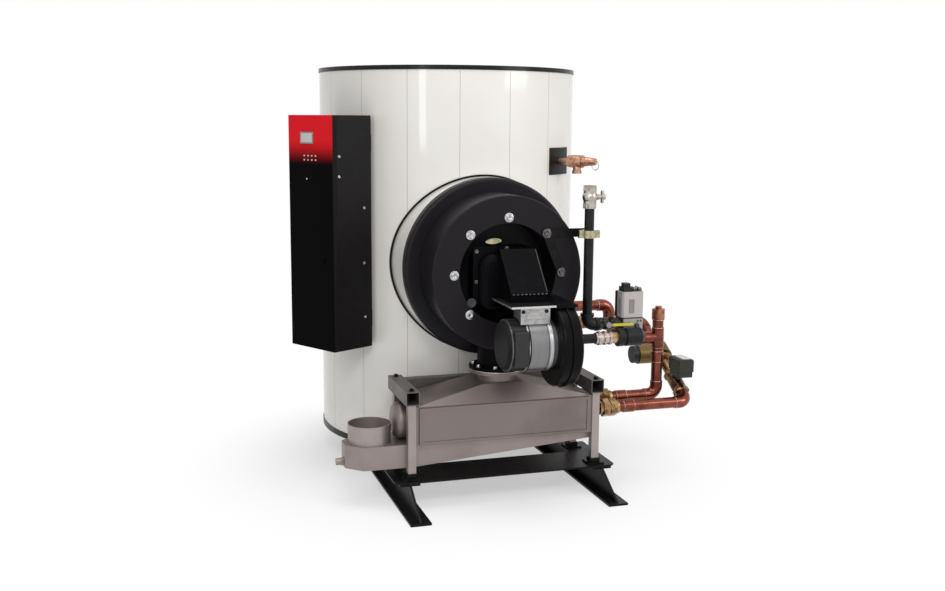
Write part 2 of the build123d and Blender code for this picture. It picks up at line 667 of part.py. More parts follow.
def scroll_outline():
    """The fan casing's spiral of four quarter arcs, with the neck that rises at its back."""
    step = SCROLL_STEP
    spiral = make_face([
        CenterArc((0, 0), SCROLL_R, 0, -90),
        CenterArc((0, -step), SCROLL_R - step, -90, -90),
        CenterArc((-step, -step), SCROLL_R - 2 * step, 180, -90),
        CenterArc((-step, 0), SCROLL_R - 3 * step, 90, -90),
        Line((SCROLL_R - 4 * step, 0), (SCROLL_R, 0))])
    neck = make_face(Polyline((-NECK_FRONT, 0), (SCROLL_R, 0), (SCROLL_R, OUTLET_TOP_Z - BLOWER_Z),
                              (-NECK_FRONT, OUTLET_TOP_Z - BLOWER_Z), close=True))
    return spiral + neck


def scroll_slice(outline, x, width):
    return extrude(Pos(x, BLOWER_Y, BLOWER_Z) * (Plane.YZ * outline), width)


def blower_scroll():
    """The fan casing: a spiral drum with a seam round its middle, a neck flange and the air inlet ring."""
    case = scroll_slice(scroll_outline(), SCROLL_LEFT_X, SCROLL_WIDTH)
    rounds = case.edges().filter_by(GeomType.CIRCLE)
    case = fillet(rounds, SCROLL_EDGE_FILLET)
    seam = scroll_slice(offset(scroll_outline(), SCROLL_SEAM_PROUD),
                        SCROLL_LEFT_X + (SCROLL_WIDTH - SCROLL_SEAM_WIDTH) / 2, SCROLL_SEAM_WIDTH)
    rear = BLOWER_Y + SCROLL_R
    seam -= block(SCROLL_LEFT_X, SCROLL_RIGHT_X, BLOWER_Y - SCROLL_R, rear + OVERRUN, OUTLET_TOP_Z,
                  OUTLET_TOP_Z + OVERRUN)
    case += seam
    case += block(SCROLL_LEFT_X, SCROLL_RIGHT_X + SCROLL_SEAM_PROUD, BLOWER_Y - NECK_FRONT - NECK_FLANGE,
                  rear, OUTLET_TOP_Z - NECK_FLANGE_THICKNESS, OUTLET_TOP_Z)
    return case + rod((SCROLL_RIGHT_X, BLOWER_Y, BLOWER_Z),
                      (SCROLL_RIGHT_X + BLOWER_INLET_LENGTH, BLOWER_Y, BLOWER_Z), BLOWER_INLET_R)


def blower_motor():
    """The ribbed motor body with its terminal box, and the smooth band with grooves and a throat."""
    body = rod((MOTOR_LEFT_X, BLOWER_Y, BLOWER_Z), (BAND_LEFT_X, BLOWER_Y, BLOWER_Z), MOTOR_R)
    rib = Pos((MOTOR_LEFT_X + BAND_LEFT_X) / 2, 0, MOTOR_R / 2 + MOTOR_RIB_HEIGHT / 2)
    rib *= Box(BAND_LEFT_X - MOTOR_LEFT_X, MOTOR_RIB_WIDTH, MOTOR_R + MOTOR_RIB_HEIGHT)
    for index in range(MOTOR_RIBS):
        body += Pos(0, BLOWER_Y, BLOWER_Z) * Rot(360 * index / MOTOR_RIBS, 0, 0) * rib
    half = TERMINAL_BOX_TALL / 2
    box = block(MOTOR_LEFT_X + TERMINAL_BOX_MARGIN, BAND_LEFT_X, BLOWER_Y - MOTOR_R - TERMINAL_BOX_PROUD,
                BLOWER_Y, BLOWER_Z - half, BLOWER_Z + half)
    body += fillet(box.faces().sort_by(Axis.Y)[0].edges(), TERMINAL_BOX_FILLET)
    width = THROAT_LEFT_X - BAND_LEFT_X
    outline = [(0, BAND_R - BAND_EDGE), (BAND_EDGE, BAND_R)]
    for index in range(BAND_GROOVES, 0, -1):
        start = width - index * BAND_GROOVE_PITCH
        end = start + BAND_GROOVE_WIDTH
        outline += [(start, BAND_R), (start, BAND_R - BAND_GROOVE_DEPTH),
                    (end, BAND_R - BAND_GROOVE_DEPTH), (end, BAND_R)]
    outline += [(width, BAND_R), (width, THROAT_R), (width + THROAT_GAP, THROAT_R),
                (width + THROAT_GAP, MOTOR_R), (SCROLL_LEFT_X - BAND_LEFT_X, MOTOR_R)]
    return body + turned((BAND_LEFT_X, BLOWER_Y, BLOWER_Z), (1, 0, 0), outline)


def motor_cap():
    """The motor's rounded end cap with a raised rim."""
    cap = rod((CAP_LEFT_X, BLOWER_Y, BLOWER_Z), (MOTOR_LEFT_X, BLOWER_Y, BLOWER_Z), CAP_R)
    cap = fillet(cap.edges().group_by(Axis.X)[0], CAP_FILLET)
    return cap + rod((MOTOR_LEFT_X - CAP_RIM_WIDTH, BLOWER_Y, BLOWER_Z), (MOTOR_LEFT_X, BLOWER_Y, BLOWER_Z),
                     CAP_RIM_R)


# Flue pipe and heat exchanger
def flue_pipe():
    """The pipe from the drum's belly down to the exchanger's flange."""
    low = FLUE_FLANGE_Z + FLUE_FLANGE_THICKNESS
    pipe = rod((0, FLUE_Y, low), (0, FLUE_Y, DRUM_Z), FLUE_R)
    pipe += rod((0, FLUE_Y, low), (0, FLUE_Y, low + FLUE_FLANGE_THICKNESS), FLUE_FLANGE_R)
    pipe -= rod((0, DRUM_BACK_Y, DRUM_Z), (0, COLLAR_FRONT_Y, DRUM_Z), COLLAR_R + FIT)
    pipe -= rod((0, DRUM_BACK_Y - FIT, DRUM_Z), (0, DRUM_BACK_Y, DRUM_Z), COLLAR_R + FIT)
    return pipe - rod((0, DRUM_BACK_Y + OVERRUN, DRUM_Z), (0, DRUM_FRONT_Y - OVERRUN, DRUM_Z),
                      DRUM_R + FIT)


def hx_roof():
    """The hipped hood that gathers to the flue neck and its flange."""
    base = Pos(0, FLUE_Y, HX_TOP_Z) * Rectangle(2 * HX_HALF_WIDTH, HX_DEPTH)
    top = Pos(0, FLUE_Y, ROOF_TOP_Z) * Rectangle(2 * ROOF_TOP_HALF, 2 * ROOF_TOP_HALF)
    roof = loft([base, top])
    roof += rod((0, FLUE_Y, ROOF_TOP_Z), (0, FLUE_Y, FLUE_FLANGE_Z), FLUE_R)
    return roof + rod((0, FLUE_Y, FLUE_FLANGE_Z), (0, FLUE_Y, FLUE_FLANGE_Z + FLUE_FLANGE_THICKNESS),
                      FLUE_FLANGE_R)


def hx_body():
    """The exchanger's casing with a raised front panel and the frame pressed round it."""
    half = HX_HALF_WIDTH - HX_PANEL_INSET
    low = HX_BOTTOM_Z + HX_PANEL_MARGIN
    high = HX_TOP_Z - HX_PANEL_MARGIN
    face = HX_FRONT_Y - HX_PANEL_PROUD
    case = block(-HX_HALF_WIDTH, HX_HALF_WIDTH, HX_FRONT_Y, HX_REAR_Y, HX_BOTTOM_Z, HX_TOP_Z)
    case += block(-half, half, face - HX_FRAME_PROUD, HX_FRONT_Y, low, high)
    return case - block(-half + HX_FRAME_WIDTH, half - HX_FRAME_WIDTH, face - HX_FRAME_PROUD - OVERRUN, face,
                        low + HX_FRAME_WIDTH, high - HX_FRAME_WIDTH)


def hx_bonnet(side):
    """A round water header on one end of the exchanger."""
    z = (HX_BOTTOM_Z + HX_TOP_Z) / 2
    x = side * HX_HALF_WIDTH
    cap = rod((x, FLUE_Y, z), (x + side * BONNET_LENGTH, FLUE_Y, z), BONNET_R)
    return fillet(cap.edges().sort_by(Axis.X)[0 if side < 0 else -1], BONNET_FILLET)


def condensate_pan():
    """The sloping pan under the exchanger, with the exhaust box at its left end."""
    outline = Plane.XZ * make_face(Polyline(
        (PAN_LEFT_X, HX_BOTTOM_Z), (HX_HALF_WIDTH, HX_BOTTOM_Z), (HX_HALF_WIDTH, PAN_HIGH_Z),
        (-HX_HALF_WIDTH - PAN_SLOPE_REACH, PAN_LOW_Z), (PAN_LEFT_X, PAN_LOW_Z), close=True))
    pan = Pos(0, FLUE_Y + PAN_WIDTH / 2, 0) * extrude(outline, PAN_WIDTH)
    return chamfer(pan.edges().filter_by(Axis.Z).group_by(Axis.X)[0], PAN_CHAMFER)


def exhaust_collar():
    """The open exhaust connection, with a wider sleeve round its mouth."""
    top = HX_BOTTOM_Z + EXHAUST_HEIGHT
    tube = rod((EXHAUST_X, FLUE_Y, HX_BOTTOM_Z), (EXHAUST_X, FLUE_Y, top), EXHAUST_R - EXHAUST_STEP)
    tube += rod((EXHAUST_X, FLUE_Y, top - EXHAUST_SLEEVE), (EXHAUST_X, FLUE_Y, top), EXHAUST_R)
    return tube - rod((EXHAUST_X, FLUE_Y, HX_BOTTOM_Z - OVERRUN), (EXHAUST_X, FLUE_Y, top + OVERRUN),
                      EXHAUST_R - EXHAUST_WALL)


def condensate_drain():
    """The drain nipple on the exhaust box, with a nut at its root."""
    start = (PAN_LEFT_X, FLUE_Y, PAN_LOW_Z + DRAIN_RISE)
    pipe = rod(start, (PAN_LEFT_X - DRAIN_LENGTH, FLUE_Y, PAN_LOW_Z + DRAIN_RISE), DRAIN_R)
    return pipe + hex_bar(start, (-1, 0, 0), DRAIN_NUT_LENGTH, DRAIN_NUT_R)


# Stand
def stand_post(side, y):
    x = side * POST_X
    half = POST_SIZE / 2
    return block(x - half, x + half, y - half, y + half, PLATE_TOP_Z + FOOT_THICKNESS, BAR_BOTTOM_Z)


def stand_foot(side, y):
    """A foot plate with a socket round the post."""
    x = side * POST_X
    hole = POST_SIZE / 2 + FIT
    wall = hole + FOOT_SOCKET_WALL
    top = PLATE_TOP_Z + FOOT_THICKNESS
    plate = block(x - FOOT_SIZE / 2, x + FOOT_SIZE / 2, y - FOOT_SIZE / 2, y + FOOT_SIZE / 2, PLATE_TOP_Z, top)
    socket = block(x - wall, x + wall, y - wall, y + wall, top, top + FOOT_SOCKET_HEIGHT)
    return plate + (socket - block(x - hole, x + hole, y - hole, y + hole, top, top + 2 * FOOT_SOCKET_HEIGHT))


def stand_bar(side):
    """A square tube along the top of one pair of posts, open at both ends."""
    x = side * POST_X
    half = BAR_SIZE / 2
    hole = half - BAR_WALL
    z = BAR_BOTTOM_Z + half
    bar = block(x - half, x + half, BAR_FRONT_Y, BAR_REAR_Y, z - half, z + half)
    return bar - block(x - hole, x + hole, BAR_FRONT_Y - OVERRUN, BAR_REAR_Y + OVERRUN, z - hole, z + hole)


def stand_crossbar():
    """The square tube between the two bars, behind the exchanger."""
    reach = POST_X - BAR_SIZE / 2
    front = BAR_REAR_Y - CROSSBAR_SIZE
    top = BAR_BOTTOM_Z + CROSSBAR_SIZE
    bar = block(-reach, reach, front, BAR_REAR_Y, BAR_BOTTOM_Z, top)
    return bar - block(-reach - OVERRUN, reach + OVERRUN, front + BAR_WALL, BAR_REAR_Y - BAR_WALL,
                       BAR_BOTTOM_Z + BAR_WALL, top - BAR_WALL)


# Control cabinet, built facing -Y and turned to its place on the jacket
def hinge_heights():
    """The heights where the body's and the door's hinge barrels meet."""
    return [CABINET_BOTTOM_Z + share * CABINET_HEIGHT for share in HINGE_SHARES]


def cabinet_body():
    """The hollow case with a lip round its mouth, the lower hinge barrels and their pins."""
    half = CABINET_WIDTH / 2
    room = half - CABINET_WALL
    mouth = room - CABINET_LIP
    low = CABINET_BOTTOM_Z + CABINET_WALL
    high = CABINET_TOP_Z - CABINET_WALL
    case = block(-half, half, CABINET_FRONT_Y, CABINET_BACK_Y, CABINET_BOTTOM_Z, CABINET_TOP_Z)
    case -= block(-room, room, CABINET_FRONT_Y + CABINET_WALL, CABINET_BACK_Y - CABINET_WALL, low, high)
    case -= block(-mouth, mouth, CABINET_FRONT_Y - OVERRUN, CABINET_FRONT_Y + OVERRUN,
                  low + CABINET_LIP, high - CABINET_LIP)
    for z in hinge_heights():
        case += rod((HINGE_X, DOOR_BACK_Y, z - HINGE_LENGTH), (HINGE_X, DOOR_BACK_Y, z), HINGE_R)
        case += block(HINGE_X, -half, CABINET_FRONT_Y, CABINET_FRONT_Y + HINGE_LEAF, z - HINGE_LENGTH, z)
        case += rod((HINGE_X, DOOR_BACK_Y, z), (HINGE_X, DOOR_BACK_Y, z + HINGE_LENGTH), HINGE_PIN_R)
    return on_tank(-CABINET_ANGLE) * case


def cabinet_door():
    """The door, a shallow tray, with its lock and the upper hinge barrels that drop over the pins."""
    half = CABINET_WIDTH / 2
    door = block(-half, half, DOOR_FRONT_Y, DOOR_BACK_Y, CABINET_BOTTOM_Z, CABINET_TOP_Z)
    door -= block(-half + CABINET_WALL, half - CABINET_WALL, DOOR_FRONT_Y + CABINET_WALL, DOOR_BACK_Y + OVERRUN,
                  CABINET_BOTTOM_Z + CABINET_WALL, CABINET_TOP_Z - CABINET_WALL)
    for z in hinge_heights():
        low = z + FIT
        high = z + HINGE_LENGTH
        door += rod((HINGE_X, DOOR_BACK_Y, low), (HINGE_X, DOOR_BACK_Y, high), HINGE_R)
        door += block(HINGE_X, -half, DOOR_BACK_Y - HINGE_LEAF, DOOR_BACK_Y, low, high)
        door -= rod((HINGE_X, DOOR_BACK_Y, z), (HINGE_X, DOOR_BACK_Y, high + OVERRUN), HINGE_PIN_R + FIT)
    lock_z = CABINET_BOTTOM_Z + LOCK_SHARE * CABINET_HEIGHT
    lock_x = half - LOCK_INSET
    door += rod((lock_x, DOOR_FRONT_Y, lock_z), (lock_x, DOOR_FRONT_Y - LOCK_PROUD, lock_z), LOCK_R)
    return on_tank(-CABINET_ANGLE) * door


def cabinet_rails():
    """Two rails that hold the cabinet off the round jacket."""
    half = CABINET_WIDTH / 2 - RAIL_INSET
    rails = []
    for z in (CABINET_BOTTOM_Z + RAIL_MARGIN, CABINET_TOP_Z - RAIL_MARGIN - RAIL_HEIGHT):
        rail = block(-half, half, CABINET_BACK_Y, -JACKET_R + OVERRUN, z, z + RAIL_HEIGHT)
        rail -= rod((0, 0, z - OVERRUN), (0, 0, z + RAIL_HEIGHT + OVERRUN), JACKET_R + FIT)
        rails.append(on_tank(-CABINET_ANGLE) * rail)
    return rails[0] + rails[1]


# Gas train
def gas_riser():
    return rod((RISER_X, RISER_Y, RISER_BOTTOM_Z + IRON_ELBOW_REACH), (RISER_X, RISER_Y, RISER_TOP_Z), GAS_R)


def gas_cock():
    """The shut-off cock on top of the riser: a ball between hexagons, open above, its stem to the right."""
    z = RISER_TOP_Z
    top = z + COCK_HEIGHT
    middle = z + COCK_HEIGHT / 2
    body = rod((RISER_X, RISER_Y, z), (RISER_X, RISER_Y, top), COCK_R)
    body += Pos(RISER_X, RISER_Y, middle) * Sphere(COCK_BALL_R)
    for low in (z, top - COCK_HEX_HEIGHT):
        body += hex_bar((RISER_X, RISER_Y, low), (0, 0, 1), COCK_HEX_HEIGHT, COCK_HEX_R)
    end = RISER_X + COCK_BALL_R + STEM_LENGTH
    body += rod((RISER_X, RISER_Y, middle), (end, RISER_Y, middle), STEM_R)
    body += rod((RISER_X, RISER_Y, middle), (end - STEM_COLLAR_LENGTH, RISER_Y, middle), STEM_COLLAR_R)
    return body - rod((RISER_X, RISER_Y, middle + COCK_R), (RISER_X, RISER_Y, top + OVERRUN), GAS_R)


def gas_cock_handle():
    """The tee handle on the cock's stem."""
    x = RISER_X + COCK_BALL_R + STEM_LENGTH + FIT
    z = RISER_TOP_Z + COCK_HEIGHT / 2
    wing = Plane.YZ * SlotOverall(TEE_HANDLE_LENGTH, TEE_HANDLE_WIDTH, rotation=90)
    wing = extrude(Pos(x, RISER_Y, z) * wing, TEE_HANDLE_THICKNESS)
    return wing + rod((x, RISER_Y, z), (x + TEE_HANDLE_THICKNESS + STEM_R, RISER_Y, z), STEM_COLLAR_R)


def gas_elbow():
    """The banded elbow under the riser, turning right."""
    corner = (RISER_X, RISER_Y, RISER_BOTTOM_Z)
    up = RISER_BOTTOM_Z + IRON_ELBOW_REACH
    right = RISER_X + IRON_ELBOW_REACH
    body = bent_pipe([(RISER_X, RISER_Y, up), corner, (right, RISER_Y, RISER_BOTTOM_Z)], IRON_ELBOW_R,
                     IRON_ELBOW_BEND)
    body += rod((RISER_X, RISER_Y, up - IRON_BEAD_LENGTH), (RISER_X, RISER_Y, up), IRON_BEAD_R)
    return body + rod((right - IRON_BEAD_LENGTH, RISER_Y, RISER_BOTTOM_Z), (right, RISER_Y, RISER_BOTTOM_Z),
                      IRON_BEAD_R)


def ball_valve():
    """The second shut-off valve, between the elbow and the gas valve."""
    y, z = RISER_Y, RISER_BOTTOM_Z
    left = BALL_X - BALL_LENGTH / 2
    right = BALL_X + BALL_LENGTH / 2
    body = rod((left, y, z), (VALVE_LEFT_X, y, z), GAS_R)
    body += Pos(BALL_X, y, z) * Sphere(BALL_R)
    for x in (left, right - BALL_HEX_LENGTH):
        body += hex_bar((x, y, z), (1, 0, 0), BALL_HEX_LENGTH, BALL_HEX_R)
    return body + rod((BALL_X, y, z), (BALL_X, y - BALL_R - STEM_LENGTH / 2, z), STEM_R)


def ball_valve_lever():
    """The flat lever, round at its hub and its end."""
    y = RISER_Y - BALL_R - STEM_LENGTH / 2 - FIT
    z = RISER_BOTTOM_Z
    hub = rod((BALL_X, y, z), (BALL_X, y - LEVER_THICKNESS, z), LEVER_HUB_R)
    blade = Plane.XZ * SlotCenterToCenter(LEVER_LENGTH, LEVER_WIDTH)
    return hub + extrude(Pos(BALL_X + LEVER_LENGTH / 2, y, z) * blade, LEVER_THICKNESS)


def gas_valve_body():
    """The valve's cast base, hollowed in front for the regulator."""
    body = block(VALVE_LEFT_X, VALVE_RIGHT_X, VALVE_FRONT_Y, VALVE_REAR_Y, VALVE_BOTTOM_Z, VALVE_SPLIT_Z)
    body = fillet(body.edges().filter_by(Axis.Z), VALVE_EDGE)
    end = VALVE_RIGHT_X + OVERRUN
    return body - rod((REGULATOR_LEFT_X, REGULATOR_Y, REGULATOR_Z), (end, REGULATOR_Y, REGULATOR_Z),
                      REGULATOR_R + FIT)


def gas_valve_actuator():
    case = block(VALVE_LEFT_X, VALVE_RIGHT_X, VALVE_FRONT_Y, VALVE_REAR_Y, VALVE_SPLIT_Z, VALVE_TOP_Z)
    return chamfer(case.edges().filter_by(Axis.Z), VALVE_EDGE)


def gas_valve_plug():
    """The stepped cable plug on top of the actuator."""
    x = VALVE_LEFT_X + PLUG_INSET
    y = VALVE_FRONT_Y + PLUG_INSET
    step = VALVE_TOP_Z + PLUG_HEIGHT
    plug = block(x, x + PLUG_WIDTH, y, y + PLUG_DEPTH, VALVE_TOP_Z, step)
    inset = (PLUG_WIDTH - PLUG_TOP_WIDTH) / 2
    return plug + block(x + inset, x + PLUG_WIDTH - inset, y + inset, y + PLUG_DEPTH - inset, step,
                        step + PLUG_TOP_HEIGHT)


def gas_regulator():
    """The round regulator in front of the valve: a flange, a waist and a domed barrel."""
    length = REGULATOR_LENGTH
    waist = REGULATOR_FLANGE_WIDTH + REGULATOR_WAIST_WIDTH
    return turned((REGULATOR_LEFT_X, REGULATOR_Y, REGULATOR_Z), (1, 0, 0), [
        (0, REGULATOR_R), (REGULATOR_FLANGE_WIDTH, REGULATOR_R), (REGULATOR_FLANGE_WIDTH, REGULATOR_WAIST_R),
        (waist, REGULATOR_WAIST_R), (waist, REGULATOR_R), (length - REGULATOR_DOME, REGULATOR_R),
        (length, REGULATOR_R - REGULATOR_DOME)])


def gas_coupling():
    """The ribbed union between the feed pipe and the regulator."""
    outline = [(0, COUPLING_WAIST_R)]
    for index in range(COUPLING_RIBS):
        start = COUPLING_RIB_WIDTH + index * COUPLING_RIB_PITCH
        end = start + COUPLING_RIB_WIDTH
        outline += [(start, COUPLING_WAIST_R), (start, COUPLING_R), (end, COUPLING_R), (end, COUPLING_WAIST_R)]
    outline += [(COUPLING_LENGTH, COUPLING_WAIST_R)]
    return turned((REGULATOR_LEFT_X - COUPLING_LENGTH, REGULATOR_Y, REGULATOR_Z), (1, 0, 0), outline)


def gas_feed():
    return rod((SCROLL_RIGHT_X + BLOWER_INLET_LENGTH, REGULATOR_Y, REGULATOR_Z),
               (REGULATOR_LEFT_X - COUPLING_LENGTH, REGULATOR_Y, REGULATOR_Z), GAS_R)


def riser_arm():
    """The flat bracket on two of the drum's bolts that reaches out to the riser."""
    diagonal = BOLT_CIRCLE_R * math.sqrt(0.5)
    upper = (diagonal, DRUM_Z + diagonal)
    lower = (BOLT_CIRCLE_R, DRUM_Z)
    reach = (RISER_X + CLAMP_EAR, upper[1])
    return flat_bar(upper, reach, ARM_HEIGHT) + flat_bar(upper, lower, ARM_HEIGHT)


def riser_clamp():
    """The ring round the riser with an ear each side, and its stand-off to the arm."""
    arm_z = DRUM_Z + BOLT_CIRCLE_R * math.sqrt(0.5)
    low = arm_z - CLAMP_HEIGHT / 2
    high = arm_z + CLAMP_HEIGHT / 2
    outer = GAS_R + FIT + CLAMP_WALL
    ring = rod((RISER_X, RISER_Y, low), (RISER_X, RISER_Y, high), outer)
    ring += block(RISER_X - outer - CLAMP_EAR, RISER_X + outer + CLAMP_EAR, RISER_Y - CLAMP_EAR_THICKNESS / 2,
                  RISER_Y + CLAMP_EAR_THICKNESS / 2, low, high)
    ring += block(RISER_X - CLAMP_POST, RISER_X + CLAMP_POST, RISER_Y, DRUM_FRONT_Y - ARM_THICKNESS,
                  arm_z - CLAMP_POST, arm_z + CLAMP_POST)
    return ring - rod((RISER_X, RISER_Y, low - OVERRUN), (RISER_X, RISER_Y, high + OVERRUN), GAS_R + FIT)


# Relief valve, built facing -Y and turned to its place
def relief_plate():
    """The dark plate that follows the jacket round the relief valve's nipple."""
    half = RELIEF_PLATE_WIDTH / 2
    tall = RELIEF_PLATE_HEIGHT / 2
    skin = rod((0, 0, RELIEF_Z - tall), (0, 0, RELIEF_Z + tall), JACKET_R + RELIEF_PLATE_THICKNESS)
    skin -= rod((0, 0, RELIEF_Z - tall), (0, 0, RELIEF_Z + tall), JACKET_R + FIT)
    skin &= block(-half, half, -JACKET_R - OVERRUN, 0, RELIEF_Z - tall, RELIEF_Z + tall)
    skin -= rod((0, -JACKET_R - OVERRUN, RELIEF_Z), (0, 0, RELIEF_Z), RELIEF_NIPPLE_R + FIT)
    return on_tank(RELIEF_ANGLE) * skin


def relief_valve():
    """The valve: nipple, hexagon, body with its outlet below, and a tapered bonnet."""
    hexagon = JACKET_WALL + RELIEF_NIPPLE_LENGTH
    body = hexagon + RELIEF_HEX_LENGTH
    bonnet = body + RELIEF_BODY_LENGTH
    start = (0, -JACKET_R + JACKET_WALL, RELIEF_Z)
    valve = turned(start, (0, -1, 0), [
        (0, RELIEF_NIPPLE_R), (body, RELIEF_NIPPLE_R), (body, RELIEF_BODY_R), (bonnet, RELIEF_BODY_R),
        (bonnet, RELIEF_BONNET_R), (bonnet + RELIEF_BONNET_LENGTH, RELIEF_BONNET_END_R)])
    valve += hex_bar((0, start[1] - hexagon, RELIEF_Z), (0, -1, 0), RELIEF_HEX_LENGTH, RELIEF_HEX_R)
    middle = start[1] - body - RELIEF_BODY_LENGTH / 2
    mouth = RELIEF_Z - RELIEF_OUTLET_DROP
    valve += rod((0, middle, RELIEF_Z), (0, middle, mouth), RELIEF_OUTLET_R)
    valve += rod((0, middle, mouth + RELIEF_OUTLET_RIM), (0, middle, mouth), RELIEF_OUTLET_RIM_R)
    valve -= rod((0, middle, RELIEF_Z - RELIEF_BODY_R), (0, middle, mouth - OVERRUN), RELIEF_OUTLET_BORE_R)
    return on_tank(RELIEF_ANGLE) * valve


# Copper circuit
def supply_point(share):
    """A point on the sloping supply run, as a share of its length from the low end."""
    y = SUPPLY_HX_Y + share * (SUPPLY_TANK_Y - SUPPLY_HX_Y)
    z = SUPPLY_HX_Z + share * (SUPPLY_TANK_Z - SUPPLY_HX_Z)
    return Vector(SUPPLY_X, y, z)


def supply_way():
    """The direction up the sloping supply run."""
    return (supply_point(1) - supply_point(0)).normalized()


def supply_ends():
    """The two ends of the pump on the sloping run."""
    centre = supply_point(PUMP_SHARE)
    return centre - supply_way() * (PUMP_LENGTH / 2), centre + supply_way() * (PUMP_LENGTH / 2)


def supply_lower():
    """The copper from the pump down through the flow switch and across to the exchanger."""
    start = UNION_X + UNION_LENGTH
    pipe = copper_run([(start, SUPPLY_HX_Y, SUPPLY_HX_Z), (SUPPLY_X, SUPPLY_HX_Y, SUPPLY_HX_Z),
                       tuple(supply_ends()[0])])
    pipe += sleeve((start + 2 * SLEEVE_HALF, SUPPLY_HX_Y, SUPPLY_HX_Z), (1, 0, 0), SLEEVE_HALF)
    return pipe + sleeve(tuple(supply_point(SWITCH_SHARE)), tuple(supply_way()), TEE_HALF)


def supply_upper():
    """The copper from the tank out to the pump."""
    return copper_run([tuple(supply_ends()[1]), (SUPPLY_X, SUPPLY_TANK_Y, SUPPLY_TANK_Z),
                       (SUPPLY_TANK_X - JACKET_WALL, SUPPLY_TANK_Y, SUPPLY_TANK_Z)])


def pump():
    """The circulating pump's casing between its two flanges on the sloping run."""
    neck = PUMP_FLANGE_WIDTH + PUMP_NECK_LENGTH
    return turned(tuple(supply_ends()[0]), tuple(supply_way()), [
        (0, PUMP_FLANGE_R), (PUMP_FLANGE_WIDTH, PUMP_FLANGE_R), (PUMP_FLANGE_WIDTH, PUMP_NECK_R),
        (neck, PUMP_NECK_R), (neck, PUMP_R), (PUMP_LENGTH - neck, PUMP_R), (PUMP_LENGTH - neck, PUMP_NECK_R),
        (PUMP_LENGTH - PUMP_FLANGE_WIDTH, PUMP_NECK_R), (PUMP_LENGTH - PUMP_FLANGE_WIDTH, PUMP_FLANGE_R),
        (PUMP_LENGTH, PUMP_FLANGE_R)])


def pump_motor():
    """The pump's round motor, pointing at the tank, with a smaller end cap."""
    centre = supply_point(PUMP_SHARE)
    low, high = supply_ends()
    length = PUMP_R + PUMP_MOTOR_LENGTH
    motor = turned(tuple(centre), (-1, 0, 0), [
        (0, PUMP_MOTOR_R), (length - PUMP_CAP_LENGTH, PUMP_MOTOR_R), (length - PUMP_CAP_LENGTH, PUMP_CAP_R),
        (length, PUMP_CAP_R)])
    return motor - rod(tuple(low), tuple(high), PUMP_R + FIT)


def flow_switch():
    """The flow switch: a base, a lid with sloped shoulders, and the stem down to the sloping run."""
    centre = supply_point(SWITCH_SHARE)
    low = centre.Z + FITTING_R + SWITCH_STEM_LENGTH
    split = low + SWITCH_BASE_SHARE * SWITCH_HEIGHT
    wide = SWITCH_WIDTH / 2
    deep = SWITCH_DEPTH / 2
    inner = SWITCH_BASE_INSET
    middle = centre.Y - SWITCH_AHEAD
    box = block(SUPPLY_X - wide, SUPPLY_X + wide, middle - deep, middle + deep, split, low + SWITCH_HEIGHT)
    box = chamfer(box.edges().filter_by(Axis.Y).group_by(Axis.Z)[-1], SWITCH_CHAMFER)
    box += block(SUPPLY_X - wide + inner, SUPPLY_X + wide - inner, middle - deep + inner,
                 middle + deep - inner, low, split)
    stem = rod((SUPPLY_X, centre.Y, centre.Z), (SUPPLY_X, centre.Y, low), SWITCH_STEM_R)
    return box + (stem - rod(tuple(supply_point(0)), tuple(supply_ends()[0]), FITTING_R + FIT))


def return_pipe():
    """The copper riser from the exchanger and its branch back into the tank."""
    start = UNION_X + UNION_LENGTH
    pipe = copper_run([(start, RETURN_HX_Y, RETURN_HX_Z), (RETURN_X, RETURN_HX_Y, RETURN_HX_Z),
                       (RETURN_X, RETURN_HX_Y, RETURN_TOP_Z)])
    pipe += sleeve((RETURN_X, RETURN_HX_Y, RETURN_TEE_Z), (0, 0, 1), TEE_HALF)
    pipe += sleeve((RETURN_X, RETURN_HX_Y, RETURN_SLEEVE_Z), (0, 0, 1), SLEEVE_HALF)
    pipe += sleeve((start + 2 * SLEEVE_HALF, RETURN_HX_Y, RETURN_HX_Z), (1, 0, 0), SLEEVE_HALF)
    return pipe + copper_run([(RETURN_X, RETURN_HX_Y, RETURN_TEE_Z),
                              (RETURN_BRANCH_X, RETURN_HX_Y, RETURN_TEE_Z),
                              (RETURN_BRANCH_X, RETURN_TANK_Y, RETURN_TEE_Z),
                              (RETURN_BRANCH_X, RETURN_TANK_Y, RETURN_TANK_Z),
                              (RETURN_TANK_X - JACKET_WALL, RETURN_TANK_Y, RETURN_TANK_Z)])


def air_vent():
    """The stepped vent on top of the return riser."""
    top = VENT_HEIGHT + VENT_NECK_HEIGHT
    return turned((RETURN_X, RETURN_HX_Y, RETURN_TOP_Z), (0, 0, 1), [
        (0, VENT_R), (VENT_HEIGHT, VENT_R), (VENT_HEIGHT, VENT_NECK_R), (top, VENT_NECK_R)])


def pipe_union(y, z):
    """A union on the exchanger's header: a round tail with two hexagon nuts."""
    union = rod((UNION_X, y, z), (UNION_X + UNION_LENGTH, y, z), UNION_TAIL_R)
    for start in (UNION_TAIL_LENGTH, UNION_LENGTH - UNION_TAIL_LENGTH - UNION_NUT_LENGTH):
        union += hex_bar((UNION_X + start, y, z), (1, 0, 0), UNION_NUT_LENGTH, UNION_NUT_R)
    return union


def tank_nut(x, y, z):
    """A hexagon nut on a copper pipe beside the jacket."""
    start = x + TANK_NUT_GAP
    nut = hex_bar((start, y, z), (1, 0, 0), TANK_NUT_LENGTH, TANK_NUT_R)
    return nut - rod((start - OVERRUN, y, z), (start + TANK_NUT_LENGTH + OVERRUN, y, z), COPPER_R + FIT)


